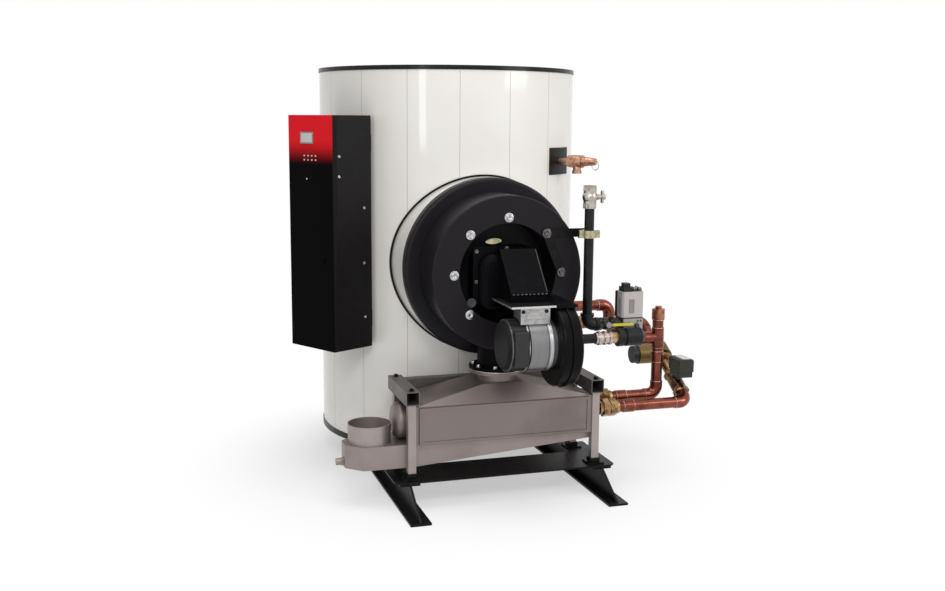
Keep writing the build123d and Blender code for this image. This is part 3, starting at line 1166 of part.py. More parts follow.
def pipe_unions():
    """The two unions on the exchanger and the two nuts beside the jacket."""
    return (pipe_union(SUPPLY_HX_Y, SUPPLY_HX_Z) + pipe_union(RETURN_HX_Y, RETURN_HX_Z)
            + tank_nut(SUPPLY_TANK_X, SUPPLY_TANK_Y, SUPPLY_TANK_Z)
            + tank_nut(RETURN_TANK_X, RETURN_TANK_Y, RETURN_TANK_Z))


def main():
    os.makedirs("parts", exist_ok=True)
    feet = []
    for side, word in ((-1, "left"), (1, "right")):
        save("skid_runner_" + word, skid_runner(side))
        save("stand_posts_" + word, stand_post(side, POST_FRONT_Y) + stand_post(side, POST_REAR_Y))
        save("stand_bar_" + word, stand_bar(side))
        feet += [stand_foot(side, POST_FRONT_Y), stand_foot(side, POST_REAR_Y)]
    save("stand_feet", feet[0] + feet[1] + feet[2] + feet[3])
    save("bottom_rim", rim(SKID_HEIGHT, SKID_HEIGHT + BOTTOM_RIM_HEIGHT))
    save("top_rim", rim(TANK_TOP_Z - TOP_RIM_HEIGHT, TANK_TOP_Z))
    save("water_nozzles", nozzle(COLD_NOZZLE_Z) + nozzle(HOT_NOZZLE_Z))
    save("hx_bonnets", hx_bonnet(-1) + hx_bonnet(1))
    for piece in (skid_plate, skid_tie, jacket, top_cover, tank_floor, burner_collar, collar_trim, drum_flange,
                  drum, burner_inlet, burner_hood, outlet_plate, blower_scroll, blower_motor, motor_cap,
                  flue_pipe, hx_roof, hx_body, condensate_pan, exhaust_collar, condensate_drain,
                  stand_crossbar, cabinet_body, cabinet_door, cabinet_rails, gas_riser, gas_cock,
                  gas_cock_handle, gas_elbow, ball_valve, ball_valve_lever, gas_valve_body, gas_valve_actuator,
                  gas_valve_plug, gas_regulator, gas_coupling, gas_feed, riser_arm, riser_clamp, relief_plate,
                  relief_valve, supply_lower, supply_upper, pump, pump_motor, flow_switch, return_pipe,
                  air_vent, pipe_unions):
        save(piece.__name__, piece())


main()
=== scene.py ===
# %% [markdown]
# # A gas water heater on its skid
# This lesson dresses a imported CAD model: a jacketed tank with a burner drum on its front, a blower, a gas
# train, copper pipes, a flue heat exchanger and a control cabinet. The solids arrive as a fixed frame in
# metres, so nothing has to be fitted by eye. What is left to Blender is the finish of every surface, and
# the small things that are screwed, soldered or clipped on.

# %% Load the frame
import math

import bpy
from mathutils import Matrix, Vector


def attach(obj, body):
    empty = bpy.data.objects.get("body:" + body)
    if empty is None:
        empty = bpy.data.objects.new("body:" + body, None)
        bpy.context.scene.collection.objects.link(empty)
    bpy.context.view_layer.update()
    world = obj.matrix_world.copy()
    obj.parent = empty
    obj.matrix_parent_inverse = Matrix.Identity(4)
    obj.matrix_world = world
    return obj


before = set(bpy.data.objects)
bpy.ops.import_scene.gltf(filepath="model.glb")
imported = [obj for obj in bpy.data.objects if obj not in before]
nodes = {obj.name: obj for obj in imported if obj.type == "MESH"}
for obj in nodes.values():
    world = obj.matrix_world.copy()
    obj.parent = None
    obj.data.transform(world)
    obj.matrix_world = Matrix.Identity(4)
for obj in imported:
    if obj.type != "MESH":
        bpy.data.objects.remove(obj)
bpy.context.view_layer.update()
print("nodes loaded:", len(nodes))

# %% [markdown]
# ## Camera
# The camera stands where the photograph was taken, to the left of the burner and above the middle.
# It could be aimed with a tracking constraint, but a fixed matrix is easier to repeat: heading, tilt and
# roll are three turns, multiplied in that order.

# %% Camera
CAMERA_PLACE = Vector((-1.2517, -4.3918, 1.3358))
CAMERA_HEADING = math.radians(17.3)
CAMERA_TILT = math.radians(9.0)
CAMERA_ROLL = math.radians(0.4)
SENSOR = 36.0
LENS = 42.6
VIEW_DEPTH = 100.0

bpy.ops.object.select_all(action="DESELECT")
bpy.ops.object.camera_add(location=CAMERA_PLACE)
camera = bpy.context.object
camera.name = "photo_camera"
turn = Matrix.Rotation(-CAMERA_HEADING, 4, "Z")
turn @= Matrix.Rotation(math.pi / 2 - CAMERA_TILT, 4, "X")
turn @= Matrix.Rotation(CAMERA_ROLL, 4, "Z")
camera.matrix_world = Matrix.Translation(CAMERA_PLACE) @ turn
camera.data.sensor_fit = "HORIZONTAL"
camera.data.sensor_width = SENSOR
camera.data.lens = LENS
camera.data.clip_end = VIEW_DEPTH
bpy.context.scene.camera = camera
bpy.context.scene.view_settings.view_transform = "Standard"
print("camera at", tuple(round(value, 3) for value in camera.location))

# %% [markdown]
# ## A small language for materials
# Node trees are quick to draw by hand and slow to read in code. One class that wraps a socket lets the
# shader's arithmetic be written as arithmetic: `1 - dust * 0.3` adds the Math nodes by itself.

# %% Signals
class Signal:
    """A socket of a material's tree, with the operators that the finishes use."""

    def __init__(self, finish, socket):
        self.finish = finish
        self.socket = socket

    def math(self, operation, *values):
        return self.finish.node("Math", {"operation": operation}, dict(enumerate(values)))

    def __add__(self, other):
        return self.math("ADD", self, other)

    def __sub__(self, other):
        return self.math("SUBTRACT", self, other)

    def __rsub__(self, other):
        return self.math("SUBTRACT", other, self)

    def __mul__(self, other):
        return self.math("MULTIPLY", self, other)

    def __gt__(self, other):
        return self.math("GREATER_THAN", self, other)

    def __lt__(self, other):
        return self.math("LESS_THAN", self, other)

    def __or__(self, other):
        return self.math("MAXIMUM", self, other)

    def __abs__(self):
        return self.math("ABSOLUTE", self)

    __radd__ = __add__
    __rmul__ = __mul__


# %% [markdown]
# ## Materials in the making
# Nodes could be added and linked one by one. Here one method adds them all, setting a node's own settings
# first and its sockets next, and short methods name the nodes that come back often. Textures use Object
# coordinates, so a finish stays on its piece when a joint moves.

# %% Finishes
class Finish:
    """A material in the making: its main shader, Object coordinates and one method that adds nodes."""

    def __init__(self, name, **constants):
        self.material = bpy.data.materials.new(name)
        self.material.use_nodes = True
        self.tree = self.material.node_tree
        self.shader = self.tree.nodes["Principled BSDF"]
        self.place = self.node("TexCoord", output="Object")
        self.set(**constants)

    def node(self, kind, settings=None, inputs=None, output=0):
        made = self.tree.nodes.new("ShaderNode" + kind)
        for key, value in (settings or {}).items():
            setattr(made, key, value)
        for key, value in (inputs or {}).items():
            self.feed(made.inputs[key], value)
        return Signal(self, made.outputs[output])

    def feed(self, socket, value):
        if isinstance(value, Signal):
            self.tree.links.new(value.socket, socket)
        else:
            socket.default_value = value

    def set(self, **inputs):
        """Feed the main shader: base_color stands for its Base Color socket, and so on."""
        for key, value in inputs.items():
            self.feed(self.shader.inputs[key.replace("_", " ").title().replace("Ior", "IOR")], value)

    def along(self, axis, place=None):
        return self.node("SeparateXYZ", inputs={0: place or self.place}, output=axis)

    def stretched(self, scale, turn=(0, 0, 0)):
        return self.node("Mapping", inputs={"Vector": self.place, "Scale": scale, "Rotation": turn})

    def noise(self, scale, detail=4.0, place=None, roughness=0.55):
        return self.node("TexNoise", inputs={"Vector": place or self.place, "Scale": scale,
                                             "Detail": detail, "Roughness": roughness})

    def step(self, signal, low, high, soft="SMOOTHSTEP"):
        return self.node("MapRange", {"interpolation_type": soft},
                         {"Value": signal, "From Min": low, "From Max": high})

    def mix(self, share, first, second):
        return self.node("Mix", {"data_type": "RGBA"}, {0: share, 6: first, 7: second}, output=2)

    def bump(self, height, strength, distance):
        inputs = {"Height": height, "Strength": strength, "Distance": distance}
        self.set(normal=self.node("Bump", inputs=inputs))


# %% [markdown]
# ## Shades and dressing
# A colour is three linear values, and a neighbour of it the same values times a factor. A CAD node's slot is
# linked to the object instead of the mesh, so the solid's own mesh stays as it came.

# %% Shades and dressing
def shade(red, green, blue):
    return (red, green, blue, 1.0)


def scaled(tone, factor):
    """A tone as a shade, with its three values times a factor."""
    return shade(*(value * factor for value in tone))


def dress(finish, *names):
    """Give CAD nodes a finish through their objects' material slots."""
    for name in names:
        for slot in nodes[name].material_slots:
            slot.link = "OBJECT"
            slot.material = finish.material
    print(finish.material.name, "on", len(names), "nodes")


# %% [markdown]
# ## Cream enamel
# The jacket is thin steel with a gloss enamel, so it has a clear coat over a nearly smooth base. Old enamel
# is never one colour: a large soft noise moves it a little between warm and grey, and a fine one gives the
# orange peel that breaks up long reflections. The foot of the jacket picks up a trace of floor dust. The
# jacket is rolled from upright staves. Their joints could be cut as grooves, but they are very fine, so the
# material draws them: the angle round the tank, from an arc tangent, is cut into equal turns, and a joint
# shows where a turn begins. The burner's collar has the enamel without joints.

# %% Cream enamel
STAVE_FIRST = math.radians(-75.7)     # from the front towards the right
STAVE_TURN = math.radians(21.8)
STAVE_JOINT = 0.0060                  # half of a joint, as a share of a turn
DUST_TOP, DUST_FULL = 0.42, 0.12      # heights where the dust starts and where it is thickest
CREAM = (0.80, 0.78, 0.745)
CREAM_TINT = (0.77, 0.745, 0.705)


def enamel(name, staves):
    finish = Finish(name, coat_weight=0.6, coat_roughness=0.06, specular_ior_level=0.4)
    cloud = finish.step(finish.noise(2.2), 0.35, 0.68)
    height = finish.along("Z")
    dust = finish.step(height, DUST_TOP, DUST_FULL) * finish.step(finish.noise(9.0, 6.0), 0.35, 0.7)
    colour = finish.mix(cloud, shade(*CREAM), shade(*CREAM_TINT))
    across = finish.along("X")
    angle = across.math("ARCTAN2", across, 0 - finish.along("Y"))
    turns = (angle - STAVE_FIRST + STAVE_TURN / 2) * (1 / STAVE_TURN)
    off_joint = abs(turns.math("FRACT", turns) - 0.5)
    joint = finish.step(off_joint, STAVE_JOINT, STAVE_JOINT * 0.5) * staves
    colour = finish.mix(dust * 0.22, colour, shade(0.50, 0.47, 0.42))
    finish.set(base_color=finish.mix(joint * 0.8, colour, shade(0.26, 0.24, 0.22)),
               roughness=0.30 + finish.noise(30.0) * 0.10)
    finish.bump(finish.noise(260.0, 2.0) * 0.05 - joint, 0.6, 0.0008)
    return finish


dress(enamel("cream_enamel", staves=1.0), "jacket")
dress(enamel("collar_cream", staves=0.0), "burner_collar")

# %% [markdown]
# ## Black paint
# Most of the heater is painted black, and several blacks tell its pieces apart: the satin of the skid, the
# glossier rims, the smooth drum, the deep black of hood and scroll, and the grained powder coat of the
# cabinet. They are one recipe with different grain, so one function makes them all. Geometry's Pointiness
# finds the edges, where paint wears thin and looks paler.

# %% Black paint
def black_paint(name, tone, rough, grain, relief, worn=0.35, coat=0.0, gloss=0.14):
    finish = Finish(name, coat_weight=coat, coat_roughness=0.18, specular_ior_level=gloss)
    edge = finish.step(finish.node("NewGeometry", output="Pointiness"), 0.52, 0.60)
    scuff = finish.step(finish.noise(34.0, 6.0), 0.50, 0.72)
    cloud = finish.noise(5.0, 5.0)
    pale = shade(*(value * 2.4 + 0.012 for value in tone))
    colour = finish.mix(cloud, shade(*tone), scaled(tone, 1.5))
    finish.set(base_color=finish.mix(edge * scuff * worn, colour, pale),
               roughness=rough + cloud * 0.12 + scuff * 0.06)
    finish.bump(finish.noise(grain, 3.0), relief, 0.0008)
    return finish


skid_black = black_paint("skid_black", (0.0032, 0.0030, 0.0032), rough=0.34, grain=420.0, relief=0.12)
dress(skid_black, "skid_runner_left", "skid_runner_right", "skid_plate", "skid_tie", "stand_feet",
      "riser_arm", "relief_plate", "collar_trim", "tank_floor", "top_cover")
rim_black = black_paint("rim_black", (0.0040, 0.0038, 0.0038), rough=0.24, grain=180.0, relief=0.05,
                        coat=0.12)
dress(rim_black, "top_rim", "bottom_rim")
drum_black = black_paint("drum_black", (0.0080, 0.0068, 0.0088), rough=0.33, grain=300.0, relief=0.08,
                         worn=0.2)
dress(drum_black, "drum", "drum_flange")
hood_black = black_paint("hood_black", (0.0022, 0.0020, 0.0026), rough=0.36, grain=300.0, relief=0.08,
                         worn=0.2, gloss=0.04)
dress(hood_black, "burner_inlet", "burner_hood", "flue_pipe")
scroll_black = black_paint("scroll_black", (0.0022, 0.0020, 0.0024), rough=0.24, grain=240.0, relief=0.07,
                           coat=0.05, gloss=0.06)
dress(scroll_black, "blower_scroll")
powder_black = black_paint("powder_black", (0.0052, 0.0044, 0.0048), rough=0.40, grain=900.0, relief=0.30,
                           worn=0.15)
dress(powder_black, "cabinet_body", "cabinet_rails")

# %% [markdown]
# ## The cabinet's face
# The door's front is red at the top and fades into black a third of the way down. The fade could be painted
# in an image, but a step along Z does it with no file. A second step along the door's own depth keeps the
# red off its sides, which are painted a paler grey black than the powder coat's own, a painted sheen that
# stands in for the powder coat's stronger reflection: the cabinet is turned sixty degrees on the tank, so a
# Mapping node turns the coordinates back first.

# %% Cabinet face
CABINET_TURN = math.radians(-60)
FACE_Y = -0.702                       # of the door's front, in the cabinet's own axes
FACE_SKIN = 0.0006
FADE_LOW, FADE_HIGH = 1.165, 1.262    # heights between which black turns into red

face = Finish("cabinet_face", coat_weight=0.01, coat_roughness=0.12, specular_ior_level=0.012)
local = face.stretched((1, 1, 1), (0, 0, -CABINET_TURN))
front = face.along("Y", local) < FACE_Y + FACE_SKIN
fade = face.step(face.along("Z"), FADE_LOW, FADE_HIGH) * front
red = face.mix(face.noise(6.0), shade(0.80, 0.018, 0.026), shade(0.72, 0.015, 0.022))
black = face.mix(face.noise(5.0), shade(0.0014, 0.0012, 0.0014), shade(0.0024, 0.0019, 0.0024))
# painted sheen: the door's sides are painted paler than the powder coat's black, in place of its reflection
black = face.mix(front, shade(0.0150, 0.0138, 0.0142), black)
face.set(base_color=face.mix(fade, black, red), roughness=0.30 + face.noise(28.0) * 0.10)
face.bump(face.noise(700.0, 2.0), 0.10, 0.0006)
dress(face, "cabinet_door")

# %% [markdown]
# ## Brushed steel
# The exchanger, its pan and its stand are stainless sheet with a warm taupe cast. Brushing could be an image
# of scratches, but a noise that is stretched along one axis needs no file: it moves the roughness and a
# very shallow bump. Large soft stains keep broad panels from looking new.

# %% Brushed steel
ACROSS = (14, 900, 900)               # scales of the noise for brushing along X
UPRIGHT = (700, 700, 12)              # along Z
LENGTHWAYS = (700, 12, 700)           # along Y


def brushed(name, tone, stain, stretch, rough=0.34):
    finish = Finish(name, metallic=0.75)
    lines = finish.noise(1.0, 5.0, finish.stretched(stretch), 0.7)
    marks = finish.step(finish.noise(7.0, 6.0), 0.42, 0.74)
    fine = finish.mix(lines, scaled(tone, 0.86), shade(*tone))
    finish.set(base_color=finish.mix(marks * 0.55, fine, shade(*stain)),
               roughness=rough + lines * 0.16 + marks * 0.08)
    finish.bump(lines, 0.10, 0.0004)
    return finish


casing_steel = brushed("casing_steel", (0.232, 0.194, 0.183), (0.152, 0.123, 0.114), ACROSS)
dress(casing_steel, "hx_body", "hx_roof", "hx_bonnets")
pan_steel = brushed("pan_steel", (0.325, 0.274, 0.262), (0.222, 0.181, 0.172), ACROSS)
dress(pan_steel, "condensate_pan", "condensate_drain")
tube_steel = brushed("tube_steel", (0.390, 0.342, 0.326), (0.262, 0.222, 0.208), UPRIGHT)
dress(tube_steel, "stand_posts_left", "stand_posts_right", "exhaust_collar")
bar_steel = brushed("bar_steel", (0.16, 0.143, 0.136), (0.095, 0.084, 0.079), LENGTHWAYS, rough=0.40)
dress(bar_steel, "stand_bar_left", "stand_bar_right", "stand_crossbar")

# %% [markdown]
# ## Blower motor
# The motor is one casting with several looks along its axis: a dark ribbed body, a turned band, a dark gap
# and a grey ring. The band's lip at each end is painted bright, a painted highlight, and the slot behind
# the left lip is painted near black, a painted shadow. Each could be an object of its own, but steps along
# X choose between them just as well, so one material serves the whole node.

# %% Blower motor
BAND_LEFT = -0.009
BAND_RIGHT = 0.077
BAND_SKIN = 0.0002                    # keeps the band off the body's end face
# width of the painted highlight on the band's left lip
BAND_LIP = 0.0040
BAND_SHADOW = 0.0045                  # of the painted shadow in the slot behind the left lip
BAND_END = 0.0110                     # of the painted highlight on the lip at the right
GAP_RIGHT = 0.080

motor = Finish("motor_alloy", specular_ior_level=0.3)
reach = motor.along("X")
is_band = (reach > BAND_LEFT + BAND_SKIN) * (reach < BAND_RIGHT)
is_gap = (reach > BAND_RIGHT) * (reach < GAP_RIGHT)
is_ring = reach > GAP_RIGHT
# painted shadow: the slot behind the left lip is painted near black
is_slot_shade = (reach > BAND_LEFT + BAND_LIP) * (reach < BAND_LEFT + BAND_LIP + BAND_SHADOW)
# painted highlights: the band's lips are painted bright
is_lip_highlight = is_band * ((reach < BAND_LEFT + BAND_LIP) | (reach > BAND_RIGHT - BAND_END))
cast = motor.noise(130.0, 5.0)
lathe = motor.noise(1.0, 4.0, motor.stretched((1400, 6, 6)))
body_tone = motor.mix(cast, shade(0.020, 0.020, 0.021), shade(0.040, 0.040, 0.041))
band_tone = motor.mix(lathe, shade(0.11, 0.11, 0.112), shade(0.32, 0.32, 0.325))
band_tone = motor.mix(is_lip_highlight, band_tone, shade(0.64, 0.64, 0.65))
band_tone = motor.mix(is_slot_shade, band_tone, shade(0.02, 0.02, 0.02))
tone = motor.mix(is_band, body_tone, band_tone)
tone = motor.mix(is_ring, tone, shade(0.17, 0.17, 0.18))
motor.set(base_color=motor.mix(is_gap, tone, shade(0.012, 0.012, 0.012)),
          metallic=0.35 + is_band * 0.6 + is_ring * 0.4,
          roughness=0.46 - is_band * 0.20 + cast * 0.10 - is_ring * 0.08)
motor.bump(cast * (1 - is_band) + lathe * is_band * 0.4 - is_slot_shade, 0.16, 0.0008)
dress(motor, "blower_motor")

# %% [markdown]
# ## The motor's saddle and end cap
# The plate over the motor and the saddle below it are one casting, streaked and pitted. The plate's edge is
# painted bright, a painted highlight, and its top near black, a painted dark reflection. The cap at the
# motor's left end is dark plastic, and its side right of the end face is painted bright grey, a painted
# highlight. Faces could be picked and painted one by one, but height alone tells the plate's apart, and a
# step along X finds where the cap's side begins.

# %% Saddle and end cap
PLATE_TOP_Z = 0.729
# above it the plate's edge is painted bright, a painted highlight
PLATE_LOW_Z = 0.722
DARK_TOP_START, DARK_TOP_FULL = 0.0006, 0.0003      # below the plate's top, where the painted dark reflection starts and is full
RIM_LEFT, RIM_RIGHT = -0.0665, -0.0655       # between which the cap's side turns bright, a painted highlight

saddle = Finish("saddle_alloy", specular_ior_level=0.0)
saddle_height = saddle.along("Z")
# painted dark reflection: the plate's top is painted near black
is_dark_top = saddle.step(saddle_height, PLATE_TOP_Z - DARK_TOP_START, PLATE_TOP_Z - DARK_TOP_FULL, "LINEAR")
# painted highlight: the plate's edge is painted bright
is_edge_highlight = saddle_height > PLATE_LOW_Z
flow = saddle.noise(1.0, 5.0, saddle.stretched((16, 240, 240)), 0.7)
pits = saddle.step(saddle.noise(90.0, 5.0), 0.45, 0.75)
alloy = saddle.mix(flow, shade(0.24, 0.24, 0.24), shade(0.62, 0.61, 0.60))
alloy = saddle.mix(pits * 0.5, alloy, shade(0.14, 0.14, 0.14))
alloy = saddle.mix(is_edge_highlight, alloy, shade(0.62, 0.61, 0.60))
saddle.set(base_color=saddle.mix(is_dark_top, alloy, shade(0.012, 0.012, 0.013)), metallic=0.9 - is_dark_top * 0.9,
           roughness=0.28 + pits * 0.14 + is_dark_top * 0.2)
saddle.bump(flow + pits, 0.16, 0.0008)
dress(saddle, "outlet_plate")

cap = Finish("motor_plastic", specular_ior_level=0.08)
# painted highlight: the cap's side right of its end face is painted bright grey
cap_side_highlight = cap.step(cap.along("X"), RIM_LEFT, RIM_RIGHT)
cap_tone = cap.mix(cap.noise(60.0), shade(0.008, 0.0075, 0.008), shade(0.018, 0.017, 0.018))
cap.set(base_color=cap.mix(cap_side_highlight, cap_tone, shade(0.13, 0.13, 0.135)), metallic=cap_side_highlight * 0.6,
        roughness=0.44 - cap_side_highlight * 0.12 + cap.noise(40.0) * 0.08)
cap.bump(cap.noise(500.0, 2.0), 0.10, 0.0005)
dress(cap, "motor_cap")

# %% [markdown]
# ## Pipes and fittings
# Iron pipe is black with a dry mill scale. Copper is bright where it is new and turns red-brown and blotchy
# where the torch has heated it, so two noises of different size drive its colour and its roughness
# together. Brass, bronze and zinc plate are the same recipe in other tones. Where one solid runs from
# copper into a cast fitting, a step along an axis brings in the second metal.

# %% Pipes and fittings
BLEND = 0.0004                        # half of the blend where one tone meets another
VALVE_START_Y = -0.676                # where the sloping supply turns from copper into a cast valve
VALVE_TONE = (0.23, 0.130, 0.068)

# Each metal's tones: clean, tarnished and specks
COPPER = ((0.245, 0.077, 0.052), (0.125, 0.035, 0.026), (0.065, 0.021, 0.016))
CAST_BRONZE = ((0.56, 0.33, 0.23), (0.34, 0.16, 0.10), (0.15, 0.06, 0.04))
VENT_COPPER = ((0.42, 0.19, 0.12), (0.22, 0.075, 0.046), (0.05, 0.02, 0.014))
BRASS = ((0.47, 0.30, 0.15), (0.15, 0.086, 0.034), (0.04, 0.024, 0.010))
PUMP_BRONZE = ((0.23, 0.140, 0.050), (0.13, 0.075, 0.026), (0.05, 0.030, 0.015))
ZINC = ((0.52, 0.49, 0.45), (0.33, 0.29, 0.25), (0.13, 0.11, 0.09))
VALVE_IRON = ((0.014, 0.014, 0.015), (0.040, 0.038, 0.036), (0.34, 0.32, 0.29))
YELLOW_ZINC = ((0.46, 0.43, 0.29), (0.30, 0.28, 0.16), (0.12, 0.11, 0.07))
BLACK_IRON = ((0.006, 0.006, 0.0065), (0.012, 0.0115, 0.0115), (0.030, 0.027, 0.025))


def metal(name, tones, rough, metallic=1.0, blotch=16.0, past=None):
    """A metal in three tones; past an edge along one axis it turns into another metal."""
    clean, tarnish, spots = tones
    finish = Finish(name, metallic=metallic, specular_ior_level=0.2)
    heat = finish.step(finish.noise(blotch, 6.0), 0.38, 0.66)
    speck = finish.step(finish.noise(120.0, 4.0), 0.58, 0.74)
    colour = finish.mix(heat, shade(*clean), shade(*tarnish))
    if past is not None:
        axis, edge, other = past
        second = finish.mix(heat, shade(*other), scaled(other, 0.5))
        colour = finish.mix(finish.step(finish.along(axis), edge - BLEND, edge + BLEND), colour, second)
    finish.set(base_color=finish.mix(speck * 0.6, colour, shade(*spots)),
               roughness=rough + heat * 0.14 + speck * 0.10)
    finish.bump(finish.noise(210.0, 4.0), 0.10, 0.0006)
    return finish


dress(metal("copper_tube", COPPER, rough=0.20), "supply_upper", "return_pipe")
supply_copper = metal("supply_copper", COPPER, rough=0.20, past=("Y", VALVE_START_Y, VALVE_TONE))
dress(supply_copper, "supply_lower")
dress(metal("cast_bronze", CAST_BRONZE, rough=0.30, blotch=60.0), "relief_valve")
dress(metal("vent_copper", VENT_COPPER, rough=0.26, blotch=70.0), "air_vent")
dress(metal("union_brass", BRASS, rough=0.22, blotch=34.0), "pipe_unions")
dress(metal("pump_bronze", PUMP_BRONZE, rough=0.34, metallic=0.8, blotch=30.0), "pump")
zinc = metal("zinc_plate", ZINC, rough=0.24, blotch=56.0)
dress(zinc, "gas_cock", "gas_cock_handle")
valve_iron = metal("valve_iron", VALVE_IRON, rough=0.30, metallic=0.5, blotch=60.0)
dress(valve_iron, "ball_valve")
yellow_zinc = metal("yellow_zinc", YELLOW_ZINC, rough=0.28, blotch=60.0)
dress(yellow_zinc, "riser_clamp")
black_iron = metal("black_iron", BLACK_IRON, rough=0.32, metallic=0.0, blotch=24.0)
dress(black_iron, "gas_riser", "gas_elbow", "gas_feed", "gas_regulator", "water_nozzles")

# %% [markdown]
# ## Ribbed union
# The coupling between the gas feed and the regulator has plated ribs and, at its right end, a brass nut.
# It could be cut in two, but a step along X that chooses between a silver and a gilt tone leaves the solid
# whole, and one noise tarnishes both.

# %% Ribbed union
NUT_LEFT, NUT_RIGHT = 0.340, 0.343    # between which plate turns into brass

ribbed = Finish("ribbed_union", metallic=1.0)
end_nut = ribbed.step(ribbed.along("X"), NUT_LEFT, NUT_RIGHT)
union_mark = ribbed.step(ribbed.noise(60.0, 5.0), 0.4, 0.7)
silver = ribbed.mix(union_mark, shade(0.54, 0.47, 0.43), shade(0.27, 0.20, 0.16))
gilt = ribbed.mix(union_mark, shade(0.50, 0.37, 0.22), shade(0.27, 0.17, 0.08))
ribbed.set(base_color=ribbed.mix(end_nut, silver, gilt), roughness=0.26 + union_mark * 0.14)
ribbed.bump(ribbed.noise(240.0), 0.12, 0.0005)
dress(ribbed, "gas_coupling")

# %% [markdown]
# ## Moulded housings
# The gas valve, the pump's motor and the flow switch are moulded or die cast. Their grain is fine and even,
# so a single sharp noise gives the bump, and some change their tone where a seam, a lid or an end cap
# begins. The valve's body is painted darker left of its corner, a painted shade.

# %% Moulded housings
ACTUATOR_SEAM_Z = 0.6508              # top of the dark seam under the actuator
VALVE_SHADE_X = 0.3985               # left of it the valve's body is painted darker, a painted shade
GRIP_START_X = 0.354
PUMP_CAP_X = 0.647


def moulded(name, tone, rough, split=None, second=None, axis="Z", metallic=0.0):
    """A fine-grained housing; past a split along one axis it takes a second tone."""
    finish = Finish(name, metallic=metallic, specular_ior_level=0.25)
    cloud = finish.noise(14.0, 5.0)
    colour = finish.mix(cloud, shade(*tone), scaled(tone, 0.84))
    if split is not None:
        far = finish.step(finish.along(axis), split - BLEND, split + BLEND, "LINEAR")
        colour = finish.mix(far, colour, finish.mix(cloud, shade(*second), scaled(second, 0.84)))
    smear = finish.step(finish.noise(38.0, 5.0), 0.5, 0.75)
    finish.set(base_color=colour, roughness=rough + smear * 0.12)
    finish.bump(finish.noise(620.0, 2.0), 0.14, 0.0005)
    return finish


valve_grey = moulded("valve_grey", (0.030, 0.028, 0.028), rough=0.42, split=ACTUATOR_SEAM_Z,
                     second=(0.50, 0.465, 0.452))
dress(valve_grey, "gas_valve_actuator")
valve_alloy = moulded("valve_alloy", (0.050, 0.048, 0.047), rough=0.36, split=VALVE_SHADE_X,
                      second=(0.37, 0.355, 0.35), axis="X", metallic=0.5)
dress(valve_alloy, "gas_valve_body")
dress(moulded("plug_black", (0.016, 0.016, 0.017), rough=0.40), "gas_valve_plug")
lever_yellow = moulded("lever_yellow", (0.30, 0.29, 0.26), rough=0.36, split=GRIP_START_X,
                       second=(0.72, 0.62, 0.06), axis="X")
dress(lever_yellow, "ball_valve_lever")
pump_shell = moulded("pump_motor", (0.034, 0.035, 0.039), rough=0.40, split=PUMP_CAP_X,
                     second=(0.20, 0.120, 0.036), axis="X", metallic=0.4)
dress(pump_shell, "pump_motor")
dress(moulded("switch_case", (0.030, 0.030, 0.025), rough=0.46), "flow_switch")

# %% [markdown]
# ## Modelling helpers
# Small hardware is modelled as by hand: a primitive is added at its size, its faces are picked by where
# they lie, and inset and bevel shape them. Arrays of numbers could make the same meshes, but these moves are
# the ones that the menus offer, so each can be tried by hand.

# %% Shaping
def clear_selection():
    if bpy.context.mode != "OBJECT":
        bpy.ops.object.mode_set(mode="OBJECT")
    bpy.ops.object.select_all(action="DESELECT")


def apply_place():
    bpy.ops.object.transform_apply(location=True, rotation=True, scale=True)


def cylinder(radius, low, high, sides=32):
    """A cylinder along Z between two heights."""
    clear_selection()
    bpy.ops.mesh.primitive_cylinder_add(vertices=sides, radius=radius, depth=high - low,
                                        location=(0, 0, (low + high) / 2))
    apply_place()
    return bpy.context.object


def top_face(piece):
    """Enter edit mode with only the highest level faces selected."""
    bpy.ops.object.mode_set(mode="EDIT")
    bpy.ops.mesh.select_mode(type="FACE")
    bpy.ops.mesh.select_all(action="DESELECT")
    bpy.ops.object.mode_set(mode="OBJECT")
    highest = max(vertex.co.z for vertex in piece.data.vertices)
    for polygon in piece.data.polygons:
        polygon.select = polygon.normal.z > 0.9 and polygon.center.z > highest - 1e-6
    bpy.ops.object.mode_set(mode="EDIT")


def inset(thickness, depth=0.0):
    bpy.ops.mesh.inset(thickness=thickness, depth=depth)


def soften(piece, width, segments=2):
    """Round the sharp edges with an applied bevel and shade the piece smooth."""
    if bpy.context.mode != "OBJECT":
        bpy.ops.object.mode_set(mode="OBJECT")
    bpy.context.view_layer.objects.active = piece
    bevel = piece.modifiers.new("edges", "BEVEL")
    bevel.width = width
    bevel.segments = segments
    bevel.limit_method = "ANGLE"
    bpy.ops.object.modifier_apply(modifier=bevel.name)
    bpy.ops.object.shade_smooth_by_angle(angle=math.radians(40))
    return piece


# %% [markdown]
# ## Placing helpers
# A piece is modelled upright at the origin, and a matrix then takes it to its place. An array modifier could
# set rows and circles, but a list of matrices also serves places that follow no rule. Copies get meshes of
# their own, and a finished piece keeps its place in its mesh, as the CAD nodes do.

# %% Placing
FACING_FRONT = Matrix.Rotation(math.pi / 2, 4, "X")      # a piece built up along Z then looks along -Y


def moved(x, y, z, turn=None):
    matrix = Matrix.Translation((x, y, z))
    return matrix if turn is None else matrix @ turn


def join(name, pieces):
    clear_selection()
    for piece in pieces:
        piece.select_set(True)
    bpy.context.view_layer.objects.active = pieces[0]
    if len(pieces) > 1:
        bpy.ops.object.join()
    joined = bpy.context.view_layer.objects.active
    joined.name = name
    joined.data.name = name
    return joined


def place(piece, matrix):
    clear_selection()
    piece.select_set(True)
    bpy.context.view_layer.objects.active = piece
    piece.matrix_world = matrix
    apply_place()
    return piece


def settle(name, piece, matrix):
    """Name a piece that stands alone and put it in its place."""
    return join(name, [place(piece, matrix)])


